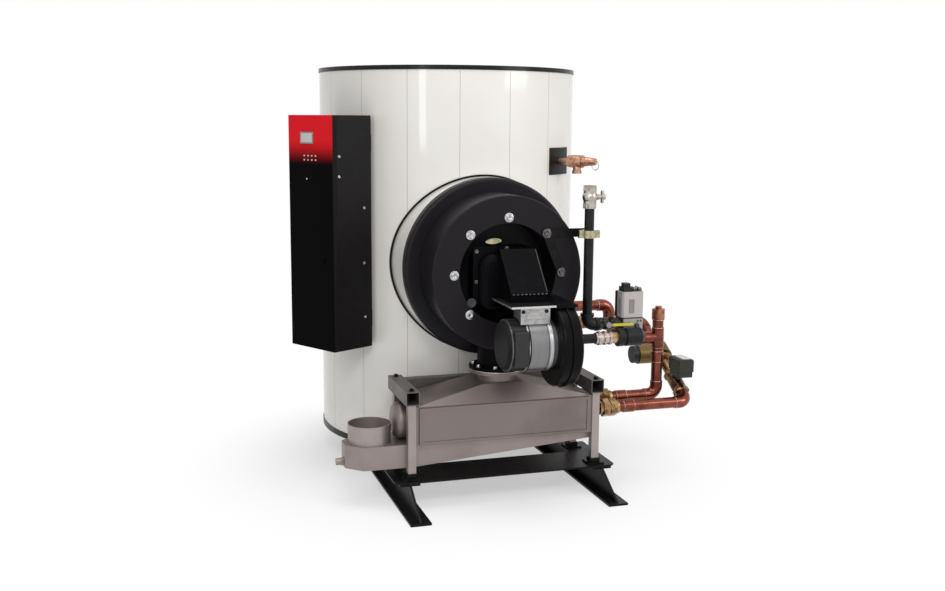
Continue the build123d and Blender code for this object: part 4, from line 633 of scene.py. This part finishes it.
def repeat(name, model, matrices):
    """Copy a model to each place, join the copies into one piece and remove the model."""
    copies = []
    for matrix in matrices:
        clear_selection()
        model.select_set(True)
        bpy.context.view_layer.objects.active = model
        bpy.ops.object.duplicate()
        copies.append(place(bpy.context.object, matrix))
    clear_selection()
    model.select_set(True)
    bpy.ops.object.delete()
    return join(name, copies)


def paint(piece, *finishes):
    piece.data.materials.clear()
    for finish in finishes:
        piece.data.materials.append(finish.material)
    return piece


def fix(piece, body="heater"):
    """Let a finished piece ride on a body."""
    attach(piece, body)
    print(piece.name, "rides on", body, "with", len(piece.data.polygons), "faces")


# %% [markdown]
# ## A hexagon bolt
# A bolt on this heater is a bevelled washer and a six-sided head, whose top is inset and pushed in to leave
# the raised ring of a forged head. Plugs, keys, caps and nuts are short cylinders with a stepped top as
# well, so that move is a helper of its own, and so is a set of bolts as one piece.

# %% Hexagon bolt
def stepped(radius, low, high, sides, border, ramp, rise, edge):
    """A short cylinder whose top, inside a border, steps up or down over a narrow ramp."""
    piece = cylinder(radius, low, high, sides)
    top_face(piece)
    inset(border)
    inset(ramp, rise)
    return soften(piece, edge)


def hex_bolt(washer_radius, washer_height, head_radius, head_height):
    washer = soften(cylinder(washer_radius, 0, washer_height, 36), washer_height * 0.3)
    head = stepped(head_radius, washer_height, washer_height + head_height, sides=6,
                   border=head_radius * 0.26, ramp=head_radius * 0.10, rise=-head_height * 0.40,
                   edge=head_height * 0.14)
    return join("bolt", [washer, head])


def bolts(name, size, places, finish):
    """A bolt of one size at each place; the size is the washer's radius and height, then the head's."""
    fix(paint(repeat(name, hex_bolt(*size), places), finish))


# %% [markdown]
# ## Bolts on the drum
# Eight bolts hold the burner to the drum. Two of them sit on the bracket's strap, a little further out, and
# have gone dull, so the places on the bolt circle are listed first and shared out between two pieces. A
# blank plug closes a spare hole above the lower left bolt.

# %% Bolts on the drum
DRUM_Z = 0.808
DRUM_FACE_Y = -0.786
STRAP = 0.006
BOLT_CIRCLE = 0.194
BOLTS = 8
BOLT_SPIN = 0.5                       # radians from one head to the next, so that no two stand alike
STRAP_BOLTS = (0, 1)
DRUM_BOLT = (0.0165, 0.0028, 0.0105, 0.0066)
PLUG_X, PLUG_Z = -0.132, 0.7125
BRIGHT_STEEL = ((0.62, 0.62, 0.63), (0.34, 0.33, 0.32), (0.12, 0.11, 0.10))
DULL_ZINC = ((0.15, 0.145, 0.14), (0.05, 0.048, 0.046), (0.62, 0.60, 0.57))

bright_steel = metal("bright_steel", BRIGHT_STEEL, rough=0.20, blotch=110.0)
dull_zinc = metal("dull_zinc", DULL_ZINC, rough=0.22, blotch=120.0)
drum_places = []
for index in range(BOLTS):
    angle = index * 2 * math.pi / BOLTS
    seat = DRUM_FACE_Y - (STRAP if index in STRAP_BOLTS else 0)
    spin = Matrix.Rotation(BOLT_SPIN * index, 4, "Z")
    drum_places.append(moved(BOLT_CIRCLE * math.cos(angle), seat, DRUM_Z + BOLT_CIRCLE * math.sin(angle),
                             FACING_FRONT @ spin))
free_places = [matrix for index, matrix in enumerate(drum_places) if index not in STRAP_BOLTS]
bolts("drum_bolts", DRUM_BOLT, free_places, bright_steel)
strap_places = [drum_places[index] for index in STRAP_BOLTS]
bolts("strap_bolts", DRUM_BOLT, strap_places, dull_zinc)

# a grey for the drum's plug, and on the hood's edge strip a painted highlight
edge_grey = moulded("edge_grey", (0.060, 0.058, 0.062), rough=0.34)
plug = stepped(0.0160, 0, 0.0036, sides=36, border=0.0030, ramp=0.0012, rise=-0.0012, edge=0.0008)
plug = settle("drum_plug", plug, moved(PLUG_X, DRUM_FACE_Y, PLUG_Z, FACING_FRONT))
fix(paint(plug, edge_grey))

# %% [markdown]
# ## Burner duct
# The duct's flange has small bolts, and an oval plate stands on a tab above it. The plate could be drawn as a
# curve, but a round disc that is squeezed is quicker, and an inset after the squeeze keeps its rim even. The
# rim is black and the sunk field pale: the field gets the second material while it is still selected.

# %% Burner duct
FLANGE_Y = -0.776
DUCT_BOLT = (0.0070, 0.0014, 0.0048, 0.0036)
DUCT_BOLTS = ((-0.112, 0.887), (-0.112, 0.782), (-0.004, 0.8955))      # X and Z
OVAL_X, OVAL_Z = -0.053, 0.922
OVAL_HALF_WIDTH = 0.033
OVAL_SQUEEZE = 0.42
OVAL_LEAN = math.radians(4)
TAB_Z = 0.913
TAB_THICK = 0.003

duct_places = [moved(x, FLANGE_Y, z, FACING_FRONT) for x, z in DUCT_BOLTS]
bolts("duct_bolts", DUCT_BOLT, duct_places, dull_zinc)


def cube(size, place=(0, 0, 0)):
    clear_selection()
    bpy.ops.mesh.primitive_cube_add(size=1, location=place, scale=size)
    apply_place()
    return bpy.context.object


def panel(width, height, thick, border, sink):
    """A plate in the XY plane whose field inside the border is sunk or raised."""
    piece = cube((width, height, thick), (0, 0, thick / 2))
    top_face(piece)
    inset(border)
    inset(border * 0.2, sink)
    return soften(piece, thick * 0.12)


tab = panel(0.020, 0.036, TAB_THICK, border=0.003, sink=-0.0006)
tab = place(tab, moved(OVAL_X, FLANGE_Y, TAB_Z, FACING_FRONT))
oval = cylinder(OVAL_HALF_WIDTH, 0, 0.003, 48)
bpy.ops.transform.resize(value=(1, OVAL_SQUEEZE, 1))
apply_place()
paint(oval, hood_black, yellow_zinc)
top_face(oval)
inset(0.0035)
inset(0.0008, -0.0012)
oval.active_material_index = 1
bpy.ops.object.material_slot_assign()
soften(oval, 0.0005)
lean = Matrix.Rotation(OVAL_LEAN, 4, "Z")
oval = place(oval, moved(OVAL_X, FLANGE_Y - TAB_THICK, OVAL_Z, FACING_FRONT @ lean))
fix(join("oval_plate", [paint(tab, hood_black), oval]))

# %% [markdown]
# ## Burner hood
# The hood's lip carries a row of spot-welded tabs, and a folded edge runs down its right side, painted a
# paler grey than the hood's black as a painted highlight. One tab is modelled and copied. The edge is a
# strip that is made along X and then turned down the slope, which is easier than to model it at a slant.

# %% Burner hood
HOOD_FRONT_Y = -0.925
HOOD_LIP_Z = 0.759
HOOD_TOP_Y, HOOD_TOP_Z = -0.800, 0.895      # where the slope starts
HOOD_EDGE_X = 0.0915
EDGE_SHORT = 0.006                          # of the strip against the whole slope
LIP_TABS = 9
LIP_FIRST_X, LIP_PITCH = -0.0295, 0.0145
LIP_AHEAD, LIP_BELOW = 0.005, 0.002         # of the tabs' seat against the lip

tab_places = [moved(LIP_FIRST_X + LIP_PITCH * index, HOOD_FRONT_Y - LIP_AHEAD, HOOD_LIP_Z - LIP_BELOW,
                    FACING_FRONT) for index in range(LIP_TABS)]
lip_tab = panel(0.0075, 0.0040, 0.0012, border=0.0010, sink=0.0005)
fix(paint(repeat("lip_tabs", lip_tab, tab_places), dull_zinc))

slope = Vector((0, HOOD_FRONT_Y - HOOD_TOP_Y, HOOD_LIP_Z - HOOD_TOP_Z))
middle = Vector((HOOD_EDGE_X, HOOD_TOP_Y, HOOD_TOP_Z)) + slope / 2
edge_turn = slope.to_track_quat("X", "Z").to_matrix().to_4x4()
edge_strip = panel(slope.length - EDGE_SHORT, 0.0030, 0.0016, border=0.0007, sink=0.0004)
# the strip is painted paler grey than the hood, a painted highlight along its edge
fix(paint(settle("edge_strip", edge_strip, moved(*middle, edge_turn)), edge_grey))

# %% [markdown]
# ## The saddle's lid
# A lid with a sunk field and two bolts close the front of the saddle between the motor and its plate. The
# field could be a plate in a frame, but an inset with a depth makes both from one box.

# %% Saddle lid
SADDLE_FRONT_Y = -0.994
LID_X, LID_Z = 0.021, 0.698
LID_BOLT = (0.0068, 0.0012, 0.0050, 0.0042)
LID_BOLTS_X = (-0.018, 0.063)
LID_BOLTS_Z = 0.710

lid = panel(0.058, 0.030, 0.0030, border=0.0035, sink=-0.0012)
lid = settle("saddle_lid", lid, moved(LID_X, SADDLE_FRONT_Y, LID_Z, FACING_FRONT))
fix(paint(lid, saddle))
lid_places = [moved(x, SADDLE_FRONT_Y, LID_BOLTS_Z, FACING_FRONT) for x in LID_BOLTS_X]
bolts("lid_bolts", LID_BOLT, lid_places, valve_iron)

# %% [markdown]
# ## Bolts on the flue and the stand
# The flue's flange is held by eight bolts that point up over a bright gasket ring, and each stand bar by a
# bolt near each of its ends. The gasket could be a washer, but a torus that is pressed flatter already has
# the round edge of a squeezed one.

# %% Bolts on the flue and the stand
FLUE_Y = -0.671
FLUE_FLANGE_Z = 0.467
FLUE_CIRCLE = 0.085
FLUE_BOLT = (0.0100, 0.0020, 0.0075, 0.0062)
GASKET_Z = 0.455
GASKET_RADIUS = 0.0992
BAR_BOLT = (0.0105, 0.0020, 0.0078, 0.0062)
BAR_X = 0.341
BAR_TOP_Z = 0.414
BAR_ENDS_Y = (-0.776, -0.545)

flue_places = [moved(FLUE_CIRCLE * math.cos(angle), FLUE_Y + FLUE_CIRCLE * math.sin(angle), FLUE_FLANGE_Z)
               for angle in (math.pi / 8 + index * math.pi / 4 for index in range(8))]
bolts("flue_bolts", FLUE_BOLT, flue_places, bright_steel)


def bead(name, radius, thick, flatten):
    """A ring round Z, from a torus that is pressed flatter or pulled taller."""
    clear_selection()
    bpy.ops.mesh.primitive_torus_add(major_radius=radius, minor_radius=thick, major_segments=48,
                                     minor_segments=10)
    piece = bpy.context.object
    bpy.ops.transform.resize(value=(1, 1, flatten))
    apply_place()
    bpy.ops.object.shade_smooth()
    piece.name = name
    piece.data.name = name
    return piece


gasket = bead("flue_gasket", GASKET_RADIUS, thick=0.0020, flatten=0.8)
fix(paint(place(gasket, moved(0, FLUE_Y, GASKET_Z)), bright_steel))
bar_places = [moved(x, y, BAR_TOP_Z) for x in (-BAR_X, BAR_X) for y in BAR_ENDS_Y]
bolts("bar_bolts", BAR_BOLT, bar_places, skid_black)

# %% [markdown]
# ## The cabinet's door
# The door carries a small display in a bezel, two rows of keys and a pilot light, all plain. They could be
# part of the door's material, but they stand proud of it, so they are pieces that ride on the door and swing
# with it. Every place is given in the cabinet's own axes and turned with the cabinet afterwards.

# %% Cabinet door
CABINET = Matrix.Rotation(CABINET_TURN, 4, "Z")
DISPLAY_X, DISPLAY_Z = -0.0165, 1.263
KEYS = 4                              # in a row
KEY_FIRST_X, KEY_PITCH = -0.032, 0.021
KEY_ROWS_Z = (1.184, 1.199)
PILOT_X, PILOT_Z = -0.020, 1.116

bezel_grey = moulded("bezel_grey", (0.30, 0.29, 0.29), rough=0.36)
screen_pale = moulded("screen_pale", (0.62, 0.60, 0.58), rough=0.22)


def on_face(x, z):
    return CABINET @ moved(x, FACE_Y, z, FACING_FRONT)


bezel = panel(0.070, 0.042, 0.0040, border=0.0030, sink=-0.0014)
bezel = settle("display_bezel", bezel, on_face(DISPLAY_X, DISPLAY_Z))
fix(paint(bezel, bezel_grey), "cabinet_door")
screen = panel(0.061, 0.033, 0.0036, border=0.0020, sink=0.0003)
screen = settle("display_screen", screen, on_face(DISPLAY_X, DISPLAY_Z))
fix(paint(screen, screen_pale), "cabinet_door")

key = stepped(0.0032, 0, 0.0022, sides=20, border=0.0008, ramp=0.0004, rise=0.0005, edge=0.0003)
key_places = [on_face(KEY_FIRST_X + KEY_PITCH * index, z) for z in KEY_ROWS_Z for index in range(KEYS)]
key_places.append(on_face(PILOT_X, PILOT_Z))
fix(paint(repeat("door_keys", key, key_places), screen_pale), "cabinet_door")

# %% [markdown]
# ## The cabinet's side
# Five screws hold the right side's sheet. A bump could stand in for them from afar, but the bolt helper
# makes real ones as easily: small bolts that look along the cabinet's own X.

# %% Cabinet side screws
FACING_RIGHT = Matrix.Rotation(math.pi / 2, 4, "Y")      # looks along +X
SIDE_X = 0.1225
SIDE_SCREW = (0.0055, 0.0008, 0.0042, 0.0022)
SIDE_SCREWS = ((-0.671, 1.198), (-0.672, 1.127), (-0.555, 1.011), (-0.557, 0.809),
               (-0.554, 0.608))       # Y and Z

side_places = [CABINET @ moved(SIDE_X, y, z, FACING_RIGHT) for y, z in SIDE_SCREWS]
bolts("side_screws", SIDE_SCREW, side_places, zinc)

# %% [markdown]
# ## Inside the cabinet
# When the door swings open the inside shows: a back panel with plain control modules and two terminal
# strips. What is really in there can't be seen in the photograph, so these are generic, and the panel
# helper makes all of them.

# %% Inside the cabinet
INNER_Y = -0.523
PANEL_Z = 0.919
PANEL_DEPTH = 0.011
PANEL_SINK = 0.002
FIELD_Y = INNER_Y - PANEL_DEPTH + PANEL_SINK      # of the panel's field, where everything is screwed on
MODULES = ((-0.050, 1.200, 0.085, 0.120, 0.060), (0.052, 1.200, 0.075, 0.120, 0.045),
           (-0.050, 0.860, 0.080, 0.140, 0.070), (0.050, 0.870, 0.080, 0.100, 0.050),
           (0.000, 0.590, 0.120, 0.090, 0.075))   # X, Z, width, height and depth
TERMINALS = 16                                    # in a strip
TERMINAL_FIRST_X, TERMINAL_PITCH = -0.090, 0.012
STRIPS_Z = (1.030, 0.720)

back_panel = panel(0.210, 0.790, PANEL_DEPTH, border=0.008, sink=-PANEL_SINK)
back_panel = settle("back_panel", back_panel, CABINET @ moved(0, INNER_Y, PANEL_Z, FACING_FRONT))
fix(paint(back_panel, bezel_grey))
modules = []
for x, z, width, height, deep in MODULES:
    box = panel(width, height, deep, border=0.006, sink=-0.003)
    modules.append(place(box, CABINET @ moved(x, FIELD_Y, z, FACING_FRONT)))
fix(paint(join("control_modules", modules), powder_black))
terminal = panel(0.0095, 0.034, 0.026, border=0.0018, sink=-0.004)
terminal_places = [CABINET @ moved(TERMINAL_FIRST_X + TERMINAL_PITCH * index, FIELD_Y, z, FACING_FRONT)
                   for z in STRIPS_Z for index in range(TERMINALS)]
fix(paint(repeat("terminal_strips", terminal, terminal_places), screen_pale))

# %% [markdown]
# ## Small things on the gas valve
# The actuator has a sunk window in its front and one in its left side, a dark strip at its back edge and
# four caps on top. The body below has a port and two screws. The windows could be cut into the solid, but a
# thin plate with a sunk field looks the same and leaves the solid alone. The others are bolts and stepped
# cylinders.

# %% Gas valve
FACING_LEFT = Matrix.Rotation(-math.pi / 2, 4, "Y")      # looks along -X
VALVE_FRONT_Y = -0.873
VALVE_LEFT_X = 0.393
VALVE_TOP_Z = 0.741
WINDOW_Z = 0.690
FRONT_WINDOW_X = 0.4280
SIDE_WINDOW_Y = -0.850
STRIP_Y, STRIP_Z = -0.8230, 0.694
PORT = (0.0100, 0.0020, 0.0075, 0.0050)
PORT_X, PORT_Z = 0.4500, 0.6215
VALVE_SCREW = (0.0042, 0.0008, 0.0034, 0.0022)
VALVE_SCREWS_X = (0.4525, 0.4645)
VALVE_SCREWS_Z = 0.6375
CAPS_X = (0.4440, 0.4625)
CAPS_Y = (-0.858, -0.834)

window_grey = moulded("window_grey", (0.27, 0.25, 0.245), rough=0.40)
cheek_black = moulded("cheek_black", (0.012, 0.012, 0.013), rough=0.42)

front_window = panel(0.020, 0.049, 0.0010, border=0.0016, sink=-0.0006)
front_window = place(front_window, moved(FRONT_WINDOW_X, VALVE_FRONT_Y, WINDOW_Z, FACING_FRONT))
side_window = panel(0.049, 0.013, 0.0010, border=0.0016, sink=-0.0006)
side_window = place(side_window, moved(VALVE_LEFT_X, SIDE_WINDOW_Y, WINDOW_Z, FACING_LEFT))
fix(paint(join("valve_windows", [front_window, side_window]), window_grey))
cheek = panel(0.090, 0.011, 0.0040, border=0.0030, sink=-0.0010)
cheek = settle("valve_cheek", cheek, moved(VALVE_LEFT_X, STRIP_Y, STRIP_Z, FACING_LEFT))
fix(paint(cheek, cheek_black))

port = settle("valve_port", hex_bolt(*PORT), moved(PORT_X, VALVE_FRONT_Y, PORT_Z, FACING_FRONT))
fix(paint(port, dull_zinc))
screw_places = [moved(x, VALVE_FRONT_Y, VALVE_SCREWS_Z, FACING_FRONT) for x in VALVE_SCREWS_X]
bolts("valve_screws", VALVE_SCREW, screw_places, dull_zinc)
valve_cap = stepped(0.0085, 0, 0.010, sides=32, border=0.0022, ramp=0.0010, rise=0.0040, edge=0.0007)
cap_places = [moved(x, y, VALVE_TOP_Z) for x in CAPS_X for y in CAPS_Y]
fix(paint(repeat("valve_caps", valve_cap, cap_places), dull_zinc))

# %% [markdown]
# ## Flow switch and check valve
# A bare plate lies on the lid of the flow switch. Under the switch, a cast valve body with a six-sided end
# each way sits on the sloping supply. It is made upright, along Z, where its lengths are easy to read, and
# a turn that tracks the slope lays it on the pipe.

# %% Flow switch and check valve
SWITCH_X, SWITCH_Y, SWITCH_LID_Z = 0.750, -0.656, 0.4446
CHECK_PLACE = (0.745, -0.631, 0.3316)
SUPPLY_SLOPE = Vector((0, 0.863, 0.505))
CHECK_LOW, CHECK_HIGH = -0.034, 0.050       # of the body along the slope
CHECK_RADIUS = 0.0275
NUT_RADIUS = 0.0315
NUT_ENDS = ((-0.047, -0.026), (0.046, 0.066))
VALVE_BRONZE = ((0.25, 0.140, 0.072), (0.10, 0.054, 0.028), (0.42, 0.28, 0.18))

switch_plate = panel(0.034, 0.078, 0.0012, border=0.0030, sink=-0.0004)
switch_plate = settle("switch_plate", switch_plate, moved(SWITCH_X, SWITCH_Y, SWITCH_LID_Z))
fix(paint(switch_plate, screen_pale))

valve_bronze = metal("valve_bronze", VALVE_BRONZE, rough=0.24, blotch=30.0)
check_pieces = [soften(cylinder(CHECK_RADIUS, CHECK_LOW, CHECK_HIGH, 40), 0.004, 3)]
for low, high in NUT_ENDS:
    check_pieces.append(stepped(NUT_RADIUS, low, high, sides=6, border=0.0050, ramp=0.0010, rise=0.0020,
                                edge=0.0014))
on_slope = SUPPLY_SLOPE.to_track_quat("Z", "Y").to_matrix().to_4x4()
check_valve = place(join("check_valve", check_pieces), moved(*CHECK_PLACE, on_slope))
fix(paint(check_valve, valve_bronze))

# %% [markdown]
# ## Solder beads
# Where a fitting was soldered to a copper tube, a pale bead of solder shows at the mouth of its socket. A
# band in the copper's material would lie flat, so one flattened ring is copied to every mouth instead.

# %% Solder beads
RETURN_X, RETURN_Y, RETURN_Z = 0.650, -0.640, 0.306
SUPPLY_Y, SUPPLY_Z = -0.709, 0.286
UPPER_X, UPPER_Y, UPPER_Z = 0.509, -0.3902, 0.613
RISER_MOUTHS_Z = (0.357, 0.432, 0.472, 0.486, 0.562, 0.5925)
RETURN_MOUTHS_X = (0.481, 0.521, 0.599)
SUPPLY_MOUTHS_X = (0.481, 0.521, 0.694)
SOLDER = ((0.60, 0.47, 0.40), (0.42, 0.27, 0.20), (0.20, 0.09, 0.06))

solder = metal("solder", SOLDER, rough=0.26, blotch=90.0)
bead_places = [moved(RETURN_X, RETURN_Y, z) for z in RISER_MOUTHS_Z]
bead_places += [moved(x, RETURN_Y, RETURN_Z, FACING_RIGHT) for x in RETURN_MOUTHS_X]
bead_places += [moved(x, SUPPLY_Y, SUPPLY_Z, FACING_RIGHT) for x in SUPPLY_MOUTHS_X]
bead_places.append(moved(UPPER_X, UPPER_Y, UPPER_Z, FACING_RIGHT))
solder_bead = bead("bead", 0.0217, thick=0.0017, flatten=0.8)
fix(paint(repeat("solder_beads", solder_bead, bead_places), solder))

# %% [markdown]
# ## Relief valve's loop
# A wire loop hangs at the end of the relief valve. A bevelled curve could draw it, but a ring that is pulled
# longer needs no curve. It is leaned over and turned to the valve's place round the tank.

# %% Relief valve's loop
RELIEF = Matrix.Rotation(math.radians(43), 4, "Z")
LOOP_Y, LOOP_Z = -0.656, 1.165
LOOP_LEAN = Matrix.Rotation(math.radians(80), 4, "Y")
LOOP_PULL = 1.35

loop = bead("relief_loop", 0.014, thick=0.0013, flatten=1.0)
bpy.ops.transform.resize(value=(LOOP_PULL, 1, 1))
apply_place()
loop = place(loop, RELIEF @ moved(0, LOOP_Y, LOOP_Z, LOOP_LEAN))
fix(paint(loop, bright_steel))

# %% [markdown]
# ## Floor
# The photograph is a cut-out on white. A pale floor takes the contact shadow, and its own material fades
# into plain white with distance, for the camera and for reflections only, so no horizon shows. A curved
# backdrop would hide it too, but only from one side.

# %% Floor
FLOOR_SIZE = 90.0
FLOOR_DROP = 0.0006                   # keeps the floor clear of the skid's underside
FADE_CENTRE = (0.0, 0.25, 0.0)        # added to a place before its distance is taken
FADE_NEAR, FADE_FAR = 0.45, 1.15

clear_selection()
bpy.ops.mesh.primitive_plane_add(size=FLOOR_SIZE, location=(0, 0, -FLOOR_DROP))
floor = bpy.context.object
floor.name = "studio_floor"
bpy.ops.object.transform_apply(location=True)

ground = Finish("studio_ground", base_color=shade(0.92, 0.92, 0.92), roughness=0.75, specular_ior_level=0.1)
flat = ground.node("Mapping", inputs={"Vector": ground.place, "Location": FADE_CENTRE})
distance = ground.node("VectorMath", {"operation": "LENGTH"}, {0: flat}, output="Value")
away = ground.step(distance, FADE_NEAR, FADE_FAR) * 0.5 + 0.5
seen = ground.node("LightPath", output="Is Camera Ray") | ground.node("LightPath", output="Is Glossy Ray")
white = ground.node("Emission", inputs={"Color": shade(1, 1, 1), "Strength": 1.0})
lit = Signal(ground, ground.shader.outputs[0])
blend = ground.node("MixShader", inputs={0: away * seen, 1: lit, 2: white})
ground.feed(ground.tree.nodes["Material Output"].inputs["Surface"], blend)
floor.data.materials.append(ground.material)
print("floor", FLOOR_SIZE, "m")

# %% [markdown]
# ## World and lamps
# The world is white for the camera, for reflections and through glass, and dimmer as a light, so that the
# level on the object stays plain. Four soft boxes do the rest: a key from the front left, a narrow strip
# that draws the long highlight on the jacket, a fill from the right and one overhead.

# %% World and lamps
WORLD_LIGHT = 0.40
world = bpy.data.worlds.new("studio")
world.use_nodes = True
bpy.context.scene.world = world
tree = world.node_tree
path = tree.nodes.new("ShaderNodeLightPath")
shown = path.outputs["Is Camera Ray"]
for ray in ("Is Glossy Ray", "Is Transmission Ray"):
    either = tree.nodes.new("ShaderNodeMath")
    either.operation = "MAXIMUM"
    tree.links.new(shown, either.inputs[0])
    tree.links.new(path.outputs[ray], either.inputs[1])
    shown = either.outputs[0]
level = tree.nodes.new("ShaderNodeMapRange")
level.inputs["To Min"].default_value = WORLD_LIGHT
tree.links.new(shown, level.inputs["Value"])
backdrop = tree.nodes["Background"]
backdrop.inputs["Color"].default_value = shade(1, 1, 1)
tree.links.new(level.outputs[0], backdrop.inputs["Strength"])
print("world light", WORLD_LIGHT)


def softbox(name, place, target, width, height, watts):
    clear_selection()
    bpy.ops.object.light_add(type="AREA", location=place)
    lamp = bpy.context.object
    lamp.name = name
    lamp.data.shape = "RECTANGLE"
    lamp.data.size = width
    lamp.data.size_y = height
    lamp.data.energy = watts
    aim = Vector(target) - Vector(place)
    lamp.rotation_euler = aim.to_track_quat("-Z", "Y").to_euler()
    print(name, watts, "W")


softbox("key_box", (-1.2, -4.8, 3.6), target=(0.0, -0.2, 0.8), width=1.2, height=1.4, watts=66)
softbox("strip_box", (-2.9, -4.06, 2.15), target=(0.0, -0.2, 1.6), width=0.50, height=2.1, watts=20)
softbox("fill_box", (3.4, -3.4, 2.5), target=(0.1, -0.3, 0.7), width=2.0, height=2.0, watts=57)
softbox("top_box", (0.0, -1.0, 4.2), target=(0.0, -0.3, 0.6), width=2.4, height=2.4, watts=55)
